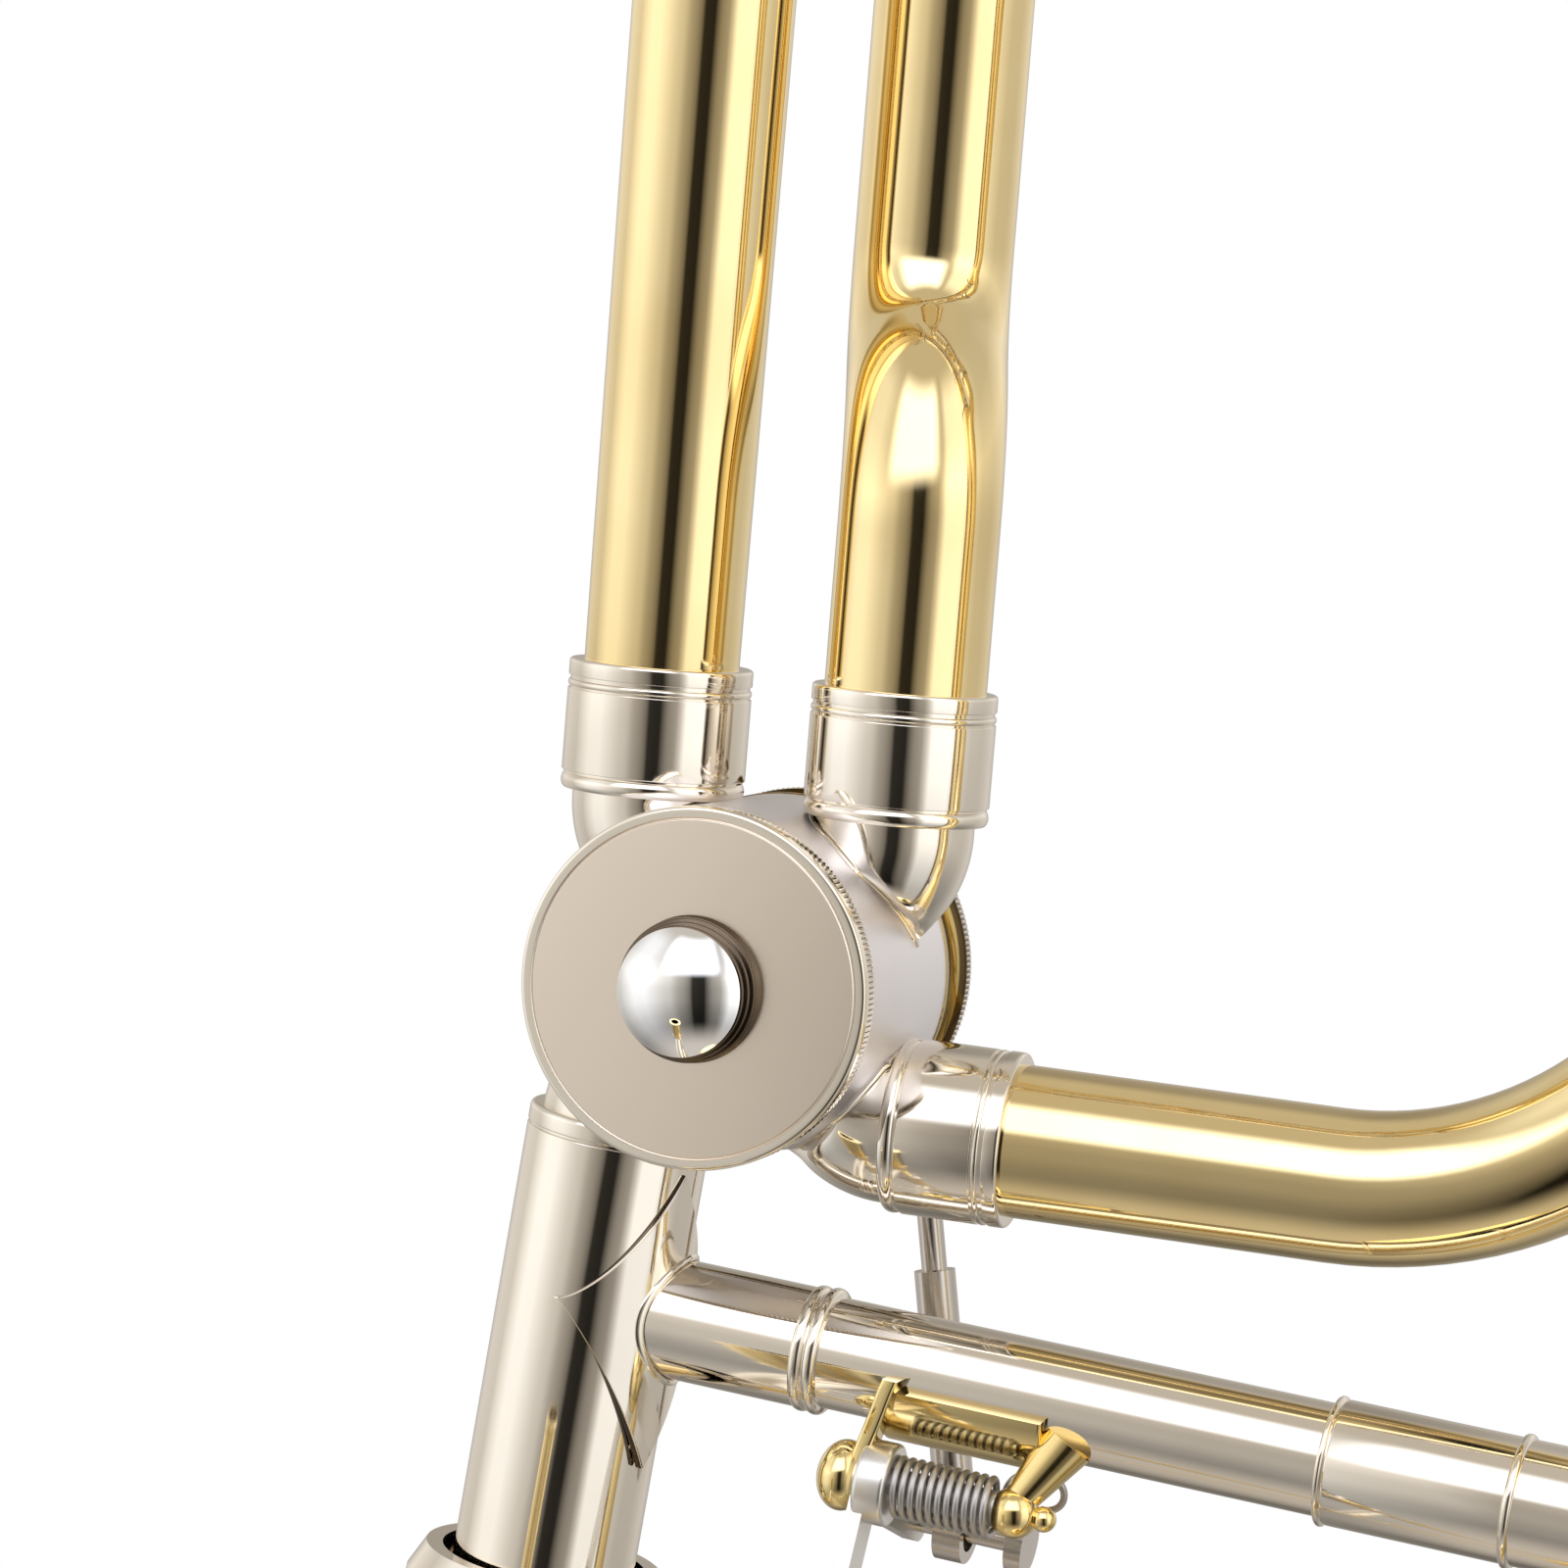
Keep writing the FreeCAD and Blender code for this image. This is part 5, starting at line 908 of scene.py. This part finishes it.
def elbow_lip(shape, feet, wire):
    """Thin rolled edge round the foot of an elbow."""
    rows = []
    middle = sum(feet, Vector()) / len(feet)
    for i, foot in enumerate(feet):
        along = (feet[(i + 1) % len(feet)] - feet[i - 1]).normalized()
        up = Vector((foot.x, 0, foot.z)).normalized()
        out = along.cross(up).normalized()
        if out.dot(foot - middle) < 0:
            out = -out
        rows.append([foot + up * (0.1 * wire + 0.8 * wire * math.sin(a)) + out * 1.3 * wire * math.cos(a)
                     for a in circle(10)])
    shape.rings(rows, closed=True)


def feed_line(v):
    """Start and direction of the feed tube's axis in the valve's frame."""
    turn, fall = v.feed_turn, v.feed_fall
    aim = Vector((math.cos(turn) * math.cos(fall), math.sin(turn) * math.cos(fall), -math.sin(fall)))
    return Vector((0, 0, -v.feed_drop)), aim


def elbow_pieces(context):
    """The four elbows of the ports."""
    v = sizes(context, "valve")
    overlap, neck_overlap = 1, 3
    place = valve_frame(context)
    feed_start, feed_aim = feed_line(v)
    neck_frame = place.inverted() @ leg_frame(context, 1)
    neck_top = neck_frame @ Vector((0, 0, v.height - sizes(context, "brace").receiver_drop))
    neck_aim = (neck_frame.to_3x3() @ UP).normalized()
    made = Shape(place)
    for start, aim, outer in (
            (Vector((-v.main_port, 0, v.ferrule_start + overlap)), UP, -EAST),
            (Vector((v.return_port, 0, v.ferrule_start + overlap)), UP, EAST),
            (feed_start + feed_aim * (v.feed_ferrule_start + overlap), feed_aim, -UP),
            (neck_top - neck_aim * neck_overlap, -neck_aim, -EAST)):
        elbow(made, start, aim, outer, v)
    made.piece("elbows", "bell_section", ("polished_nickel",), "nickel_silver", ("valve_knuckles",), 50)


def ferrule_outline(radius, bore, size):
    """Ferrule from its casing side: round bead, body, narrow bead and lip, parted by turned grooves."""
    groove = 0.2
    bead, thin, lip = 0.125 * size, 0.052 * size, 0.13 * size
    floor = radius - groove
    body_end = size - lip - thin - 2 * groove
    body = [(floor, bead + groove), (radius, bead + groove), (radius, body_end - groove),
            (floor, body_end - groove)]
    end = [(floor, size - lip), (radius, size - lip), (radius, size), (bore, size)]
    return ([(bore, 0.1 * bead)]
            + bump(0, bead, radius - 2.4 * groove, 2.4 * groove)[1:-1]
            + [(floor, bead), (floor, bead + groove)]
            + rounded(body, groove / 2, False)
            + [(floor, body_end)]
            + bump(body_end, body_end + thin, floor, groove, 6)
            + [(floor, body_end + thin + groove)]
            + rounded(end, 2 * groove, False)
            + [(bore, size)])


def ferrule_pieces(context):
    """The turned ferrules between the elbows and the brass tubes."""
    v = sizes(context, "valve")
    feed_start, feed_aim = feed_line(v)
    feed = towards(feed_start + feed_aim * v.feed_ferrule_start, feed_aim)
    main = towards((-v.main_port, 0, v.ferrule_start), UP)
    back = towards((v.return_port, 0, v.ferrule_start), UP)
    for name, place, radius, bore, size, replaces in (
            ("main_ferrule", main, v.ferrule_radius, v.tube_radius, v.ferrule_length, ()),
            ("return_ferrule", back, v.ferrule_radius, v.return_radius, v.ferrule_length, ()),
            ("feed_ferrule", feed, v.feed_ferrule_radius, v.feed_radius, v.feed_ferrule_length,
             ("port_ferrules",))):
        made = Shape(valve_frame(context)).lathe(ferrule_outline(radius, bore, size), place)
        made.piece(name, "bell_section", ("polished_nickel",), "nickel_silver", replaces)


# Brass tubes that leave the valve

def return_route(context):
    """Centre line of the loop's return tube, which sets over behind the brace in two unequal bends."""
    v, b = sizes(context, "valve"), sizes(context, "bell")
    side = Vector((math.cos(b.bend_way), math.sin(b.bend_way), 0))
    both = b.bend_length / math.sin(b.bend_angle)
    start = v.ferrule_start + v.ferrule_length / 2
    route = Route((v.return_port, 0, start), UP).straight(b.bend_height - start)
    route.bend(both * b.low_bend_share, b.bend_angle, side).straight(b.slope)
    route.bend(both * (1 - b.low_bend_share), b.bend_angle, UP)
    return set_back(b, route)


def feed_route(context):
    """Centre line of the loop's feed tube, which bends up from the side of the valve."""
    v, b = sizes(context, "valve"), sizes(context, "bell")
    origin, aim = feed_line(v)
    start = v.feed_ferrule_start + v.feed_ferrule_length / 2
    route = Route(origin + aim * start, aim).straight(b.bend_start - start)
    return set_back(b, route.bend(b.bend_radius, math.pi / 2 + v.feed_fall, UP))


def set_back(b, route):
    """Takes a leg of the loop up and back in a double bend, to its sleeve."""
    route.straight(b.set_back_start - route.here.z)
    route.double_bend(Vector((0, b.loop_plane - route.here.y, 0)), b.set_back_height)
    return route.straight(b.loop_start - route.here.z)


def tube_pieces(context):
    """Main tube, return tube and feed tube, open at both ends."""
    v, b = sizes(context, "valve"), sizes(context, "bell")
    main = Route((-v.main_port, 0, v.ferrule_start + v.ferrule_length / 2), UP)
    main.straight(b.tail - main.here.z)
    for name, route, radius, end_radius, replaced in (
            ("main_tube_skin", main, v.tube_radius, b.tube_end, "main_tube"),
            ("return_tube_skin", return_route(context), v.return_radius, None, "loop_return_tube"),
            ("feed_tube_skin", feed_route(context), v.feed_radius, None, "loop_feed_tube")):
        made = Shape(valve_frame(context)).tube(route, radius, end_radius, count=144, wall=b.wall)
        made.piece(name, "bell_section", ("lacquered_brass",), "yellow_brass", (replaced,), 60)


# Receiver, brace and thumb lever

def receiver_piece(context):
    """Receiver from its threaded foot to its rolled rim."""
    b, v, s = sizes(context, "brace"), sizes(context, "valve"), sizes(context, "slide")
    foot_lift, foot_height, foot_out, rim, groove, bore = 12, 12, 1.1, 2.2, 0.18, 7.8
    top, foot = v.height - b.receiver_drop, s.top + foot_lift
    radius, under = b.receiver_radius, top - rim
    body = [(radius - 1.2, foot), (radius + foot_out, foot), (radius + foot_out, foot + foot_height),
            (radius, foot + foot_height + foot_out), (radius, under), (radius - groove, under + 0.1)]
    roll = [(radius - groove, under + 0.3), (radius, under + 0.4), (radius, top, 0.9), (bore, top)]
    made = Shape(leg_frame(context, 1))
    made.lathe(rounded(body, 0.25, False) + rounded(roll, 0.15, False, 8), None, 0, False, 160)
    made.piece("receiver_skin", "bell_section", ("polished_nickel",), "nickel_silver", ("slide_receiver",))


def pointed_plate(shape, b):
    """Plate in the shape of a four pointed star wrapped round a tube, with its edge faces painted dark as
    shade.
    """
    columns, lines, sunk, thinnest = 128, 16, 0.15, 0.02
    base, outer = b.receiver_radius, b.receiver_radius + b.flange_thickness
    edge = 0.25 * b.flange_thickness
    skirt = base + 0.6 * b.flange_thickness
    rows = []
    for i in range(columns + 1):
        share = -1 + 2 * i / columns
        height = max(b.flange_height * (1 - abs(share)) ** b.flange_waist, thinnest)
        a = share * b.flange_reach - b.flange_turn
        row = [(base - sunk, -height), (skirt, -height), (outer - edge, -height + 0.15 * edge)]
        row += [(outer, (-1 + 2 * k / lines) * max(height - edge, thinnest / 2)) for k in range(lines + 1)]
        row += [(outer - edge, height - 0.15 * edge), (skirt, height), (base - sunk, height)]
        rows.append([(r * math.cos(a), r * math.sin(a), z + b.flange_lift * share ** 2) for r, z in row])
    width = len(rows[0])
    points = [p for row in rows for p in row]
    # The plate's edge faces, from below the receiver's skin to near its top, are painted dark as shade
    for dark in (False, True):
        rims = [k for k in range(width - 1) if (k in (0, 1, width - 3, width - 2)) == dark]
        shape.add(points, [[i * width + k, i * width + k + 1, (i + 1) * width + k + 1, (i + 1) * width + k]
                           for i in range(columns) for k in rims], None, 1 if dark else 0)
    return outer


def brace_fillet(shape, b, wall):
    """Bead of solder round the brace's foot on the plate, whose outer radius is given."""
    half = 0.35
    rows = []
    for a in circle(96):
        rows.append([])
        for t in circle(12):
            r = b.left_radius + half + half * math.cos(t)
            y = r * math.cos(a)
            rows[-1].append((math.sqrt(wall ** 2 - y ** 2) + 0.3 * math.sin(t), y, r * math.sin(a)))
    shape.rings(rows, closed=True)


def bell_disc(context, shape, b):
    """Disc soldered on the bell round the brace's end, bent to the bell's skin."""
    place = brace_frame(context)
    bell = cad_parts["bell"]
    tree = BVHTree.FromPolygons([bell.matrix_world @ corner.co for corner in bell.data.vertices],
                                [list(face.vertices) for face in bell.data.polygons])
    way = (place.to_3x3() @ EAST).normalized()
    size = b.bell_disc_radius
    # Radius of each ring of the disc, and its rise over the bell's skin
    steps = ((b.right_radius - 0.3, 0.9), (size - 0.4, 0.9), (size - 0.12, 0.8), (size, 0.55), (size, -0.1))
    rows = []
    for radius, rise in steps:
        rows.append([])
        for a in circle(96):
            start = Vector((b.third_ring, radius * math.cos(a), radius * math.sin(a)))
            hit = tree.ray_cast(place @ start, way)[3]
            rows[-1].append(start + EAST * (hit * 1000 - rise))
    shape.rings(rows)


def flange_piece(context):
    """Pointed plate on the receiver, the solder at the brace's foot, and the disc at the bell."""
    b = sizes(context, "brace")
    made = Shape(brace_frame(context))
    brace_fillet(made, b, pointed_plate(made, b))
    bell_disc(context, made, b)
    made.piece("brace_flange_skins", "bell_section", ("polished_nickel", "tarnished_nickel"), "nickel_silver",
               ("brace_flanges",))


def brace_pieces(context):
    """Brace tube, and the sleeves at its ends with their turned beads."""
    b = sizes(context, "brace")
    place = brace_frame(context)
    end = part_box("brace_sleeves")[1].x * 1000 - 0.2
    first, second, third = b.first_ring, b.second_ring, b.third_ring
    bead, low, ring, small, tall = 0.5, 0.30, 0.42, 0.25, 0.45
    tube = Shape(place)
    tube.lathe([(b.radius, first - 1), (b.radius, second)], EASTWARD, 0, False, 128)
    tube.piece("brace_tube_skin", "bell_section", ("polished_nickel",), "nickel_silver", ("bell_brace",))
    left = [(b.left_radius, b.receiver_radius - 2), (b.left_radius, first - 2.6)]
    left += bump(first - 2.6, first - 1.5, b.left_radius, low)
    left += [(b.left_radius - 0.1, first - 1.35)]
    left += bump(first - 1.2, first, b.left_radius - 0.05, ring)
    left += [(b.radius, first + 0.1)]
    right = [(b.radius, second - 2 * bead - 0.1)]
    right += bump(second - 2 * bead, second - 0.8 * bead, b.right_radius, small, 6)
    right += [(b.right_radius - 0.12, second - 0.8 * bead + 0.1), (b.right_radius, second)]
    right += [(b.right_radius, third - 2 * bead)]
    right += bump(third - 2 * bead, third, b.right_radius, tall)
    right += [(b.right_radius, end)]
    sleeves = Shape(place)
    for outline in (left, right):
        sleeves.lathe(outline, EASTWARD, 0, False, 128)
    sleeves.piece("brace_sleeve_skins", "bell_section", ("polished_nickel",), "nickel_silver",
                  ("brace_sleeves",))


def closed_rings(shape, rows, both=True):
    """Skin over rings whose first end, or both ends, are drawn in to a point."""
    middle = [[sum(row, Vector()) / len(row)] * len(row) for row in (rows[0], rows[-1])]
    shape.rings([middle[0]] + rows + ([middle[1]] if both else []))


def saddle_piece(context):
    """Channel under the brace, with a thin arm on the left, a stout post on the right, and their balls."""
    b = sizes(context, "brace")
    steps, arm_half, ball_squeeze, ball_in = 40, 0.8, 0.74, 0.4
    post_radius, post_end, knob, button = 2.7, 1.45, 2.5, 1.25
    made = Shape(brace_frame(context))
    lean = math.atan2(b.hinge_forward, b.hinge_drop)
    inner, outer = b.radius - 0.02, b.radius + b.saddle_thickness
    section = rounded([(b.saddle_start, inner), (b.saddle_start, outer), (b.saddle_end, outer),
                       (b.saddle_end, inner)], 0.3)
    rows = []
    for k in range(steps + 1):
        a = lean + b.saddle_wrap * (-1 + 2 * k / steps)
        way = Vector((0, -math.sin(a), -math.cos(a)))
        rows.append([way * r + EAST * x for x, r in section])
    closed_rings(made, rows)
    edge = lean + b.saddle_wrap
    front = Vector((0, -(outer - 0.9) * math.sin(edge), -(outer - 0.9) * math.cos(edge)))
    left = Vector((b.hinge_start, -b.hinge_forward, -b.hinge_drop))
    right = Vector((b.hinge_end, -b.hinge_forward, -b.hinge_drop))
    top, foot = front + EAST * (b.saddle_start + 0.9), left + EAST * 0.6
    # Places down the thin arm as shares of its length, and half its width there
    arm = ((-0.12, 1.9), (0.0, 2.1), (0.4, 1.7), (0.7, 1.8), (0.9, 2.4))
    rows = []
    for share, wide in arm:
        section = rounded([(-arm_half, -wide), (arm_half, -wide), (arm_half, wide), (-arm_half, wide)], 0.4)
        rows.append([top.lerp(foot, share) + Vector((x, y, 0)) for x, y in section])
    closed_rings(made, rows, both=False)
    post = Vector((b.post_top, -3.8, -3.0))
    route = Route(post, right - post).straight((right - post).length)
    made.tube(route, post_radius, post_end, count=64)
    made.ball(towards(left - EAST * ball_in, EAST), b.ball_radius, 32, ball_squeeze)
    made.ball(Matrix.Translation(right + EAST * 0.5), knob)
    made.ball(Matrix.Translation(right + EAST * (knob + 1)), button)
    made.piece("saddle_skin", "bell_section", ("gilded_brass",), "plated_lever", ("lever_saddle",), 45)


def barrel_piece(context):
    """Hinge barrel of the lever, with a rolled edge at each end."""
    b = sizes(context, "brace")
    bore, roll = 1.3, 0.5
    made = Shape(brace_frame(context))
    outline = rounded([(bore, 0), (b.barrel_radius, 0, roll), (b.barrel_radius, b.barrel_length, roll),
                       (bore, b.barrel_length)], 0.3)
    made.lathe(outline, towards((b.barrel_start, -b.hinge_forward, -b.hinge_drop), EAST))
    made.piece("lever_barrel_skin", "lever", ("plated_lever",), "plated_lever")


def spring_piece(context):
    """Wound spring on the hinge, with one end hooked under the brace."""
    b = sizes(context, "brace")
    turn_steps, count = 36, 14
    radius, wire = b.spring_radius, b.spring_wire / 2
    start = b.spring_start
    length_wound = b.hinge_end - 1.4 - start
    steps = b.spring_turns * turn_steps
    coil = Route((0, 0, 0), UP)
    coil.points = []
    for k in range(steps + 1):
        a = 2 * math.pi * k / turn_steps
        spot = Vector((start + length_wound * k / steps, radius * math.cos(a) - b.hinge_forward,
                       radius * math.sin(a) - b.hinge_drop))
        rise = length_wound / b.spring_turns / (2 * math.pi)
        aim = Vector((rise, -radius * math.sin(a), radius * math.cos(a)))
        coil.points.append((spot, aim.normalized()))
    tail = Route(coil.points[-1][0], UP).straight(1.0)
    tail.bend(2.4, math.radians(80), EAST).straight(1.5)
    tail.bend(1.9, math.radians(200), NORTH * 0.3 - UP)
    made = Shape(brace_frame(context)).tube(coil, wire, count=count).tube(tail, wire, count=count)
    made.piece("spring_skin", "bell_section", ("spring_steel",), "spring_steel", ("lever_spring",), 60)


# Finish of each node of the CAD frame. Those that a smoother piece stands in for have one too
DRESSED = {
    "lacquered_brass": ("bell", "bell_rim_wire", "main_tube", "main_tuning_bow", "tuning_sleeves",
                        "loop_feed_tube", "loop_return_tube", "loop_tuning_bow", "loop_sleeves", "slide_bow",
                        "outer_slide_tubes", "mouthpiece_receiver"),
    "polished_nickel": ("brace_flanges", "bell_brace", "tuning_ferrules", "tuning_slide_legs",
                        "loop_ferrules", "loop_slide_legs", "port_ferrules", "outer_slide_ferrules",
                        "bumper_seat", "water_key_seat", "handle_sleeves", "outer_slide_brace",
                        "cork_barrels", "inner_brace_sleeves", "inner_slide_brace", "brace_sleeves",
                        "slide_receiver", "slide_lock_nut", "slide_lock_ring", "slide_tenon", "valve_knuckles",
                        "tuning_slide_brace", "loop_slide_brace", "sleeve_braces", "leadpipe",
                        "rear_valve_ring", "stop_plate", "stop_arm", "rotor_screws", "water_key_lever"),
    "blasted_nickel": ("valve_casing", "bearing_plates", "rotor"),
    "plated_lever": ("thumb_lever",),
    "lapped_nickel": ("front_valve_cap",),
    "chrome": ("cap_finial", "inner_slide_tubes"),
    "gilded_brass": ("lever_saddle",),
    "spring_steel": ("lever_spring", "hinge_rod", "water_key_spring"),
    "brushed_steel": ("link_rod", "link_eyes", "lever_link_screw"),
    "pressed_cork": ("stop_corks", "slide_corks", "water_key_cork"),
    "moulded_rubber": ("slide_bumper",),
}


# Operators, in the order in which they run

class TROMBONE_OT_cap(bpy.types.Operator):
    """Builds the valve's front cap and its domed finial"""
    bl_idname = "trombone.cap"
    bl_label = "Front Cap"

    def execute(self, context):
        cap_piece(context)
        dome_piece(context)
        return {"FINISHED"}


class TROMBONE_OT_casing(bpy.types.Operator):
    """Builds the valve's casing and the milled ring at its back"""
    bl_idname = "trombone.casing"
    bl_label = "Valve Casing"

    def execute(self, context):
        casing_piece(context)
        rear_ring_piece(context)
        return {"FINISHED"}


class TROMBONE_OT_elbows(bpy.types.Operator):
    """Builds the four elbows of the valve's ports"""
    bl_idname = "trombone.elbows"
    bl_label = "Valve Elbows"

    def execute(self, context):
        elbow_pieces(context)
        return {"FINISHED"}


class TROMBONE_OT_ferrules(bpy.types.Operator):
    """Builds the turned ferrules on the valve's elbows"""
    bl_idname = "trombone.ferrules"
    bl_label = "Port Ferrules"

    def execute(self, context):
        ferrule_pieces(context)
        return {"FINISHED"}


class TROMBONE_OT_tubes(bpy.types.Operator):
    """Builds the brass tubes that leave the valve"""
    bl_idname = "trombone.tubes"
    bl_label = "Valve Tubes"

    def execute(self, context):
        tube_pieces(context)
        return {"FINISHED"}


class TROMBONE_OT_receiver(bpy.types.Operator):
    """Builds the slide receiver and the plates that join the brace to it and to the bell"""
    bl_idname = "trombone.receiver"
    bl_label = "Slide Receiver"

    def execute(self, context):
        receiver_piece(context)
        flange_piece(context)
        return {"FINISHED"}


class TROMBONE_OT_brace(bpy.types.Operator):
    """Builds the brace from the receiver to the bell, with its sleeves"""
    bl_idname = "trombone.brace"
    bl_label = "Bell Brace"

    def execute(self, context):
        brace_pieces(context)
        return {"FINISHED"}


class TROMBONE_OT_lever(bpy.types.Operator):
    """Builds the saddle that carries the thumb lever, and the lever's hinge barrel"""
    bl_idname = "trombone.lever"
    bl_label = "Lever Saddle"

    def execute(self, context):
        saddle_piece(context)
        barrel_piece(context)
        return {"FINISHED"}


class TROMBONE_OT_spring(bpy.types.Operator):
    """Builds the thumb lever's wound spring"""
    bl_idname = "trombone.spring"
    bl_label = "Lever Spring"

    def execute(self, context):
        spring_piece(context)
        return {"FINISHED"}


class TROMBONE_OT_finishes(bpy.types.Operator):
    """Gives the nodes of the CAD frame their finishes"""
    bl_idname = "trombone.finishes"
    bl_label = "Finishes"

    def execute(self, context):
        for finish, names in DRESSED.items():
            dress(finish, *names)
        return {"FINISHED"}


class TROMBONE_OT_stage(bpy.types.Operator):
    """Makes the camera, the studio round the trombone, its floor and lamp"""
    bl_idname = "trombone.stage"
    bl_label = "Stage"

    def execute(self, context):
        context.scene.view_settings.view_transform = "Standard"
        make_world(context)
        make_floor(context)
        make_lamp(context)
        make_camera(context)
        return {"FINISHED"}


OPERATORS = (TROMBONE_OT_cap, TROMBONE_OT_casing, TROMBONE_OT_elbows, TROMBONE_OT_ferrules, TROMBONE_OT_tubes,
             TROMBONE_OT_receiver, TROMBONE_OT_brace, TROMBONE_OT_lever, TROMBONE_OT_spring,
             TROMBONE_OT_finishes, TROMBONE_OT_stage)


class TROMBONE_PT_panel(bpy.types.Panel):
    """Settings and build steps of the trombone"""
    bl_label = "Tenor Trombone"
    bl_idname = "TROMBONE_PT_panel"
    bl_space_type = "VIEW_3D"
    bl_region_type = "UI"
    bl_category = "Trombone"

    def draw(self, context):
        for name, group in SETTINGS.items():
            box = self.layout.box()
            box.label(text=name.capitalize())
            settings = getattr(context.scene.trombone, name)
            for key in group.__annotations__:
                box.prop(settings, key)
        for step in OPERATORS:
            self.layout.operator(step.bl_idname)


CLASSES = (*SETTINGS.values(), TromboneSettings, *OPERATORS, TROMBONE_PT_panel)


def register():
    for kind in CLASSES:
        bpy.utils.register_class(kind)
    bpy.types.Scene.trombone = PointerProperty(type=TromboneSettings)


def unregister():
    del bpy.types.Scene.trombone
    for kind in reversed(CLASSES):
        bpy.utils.unregister_class(kind)


def main():
    register()
    for step in OPERATORS:
        group, name = step.bl_idname.split(".")
        if getattr(getattr(bpy.ops, group), name)() != {"FINISHED"}:
            raise RuntimeError(step.bl_label + " didn't finish")
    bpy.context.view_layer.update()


if __name__ == "__main__":
    main()
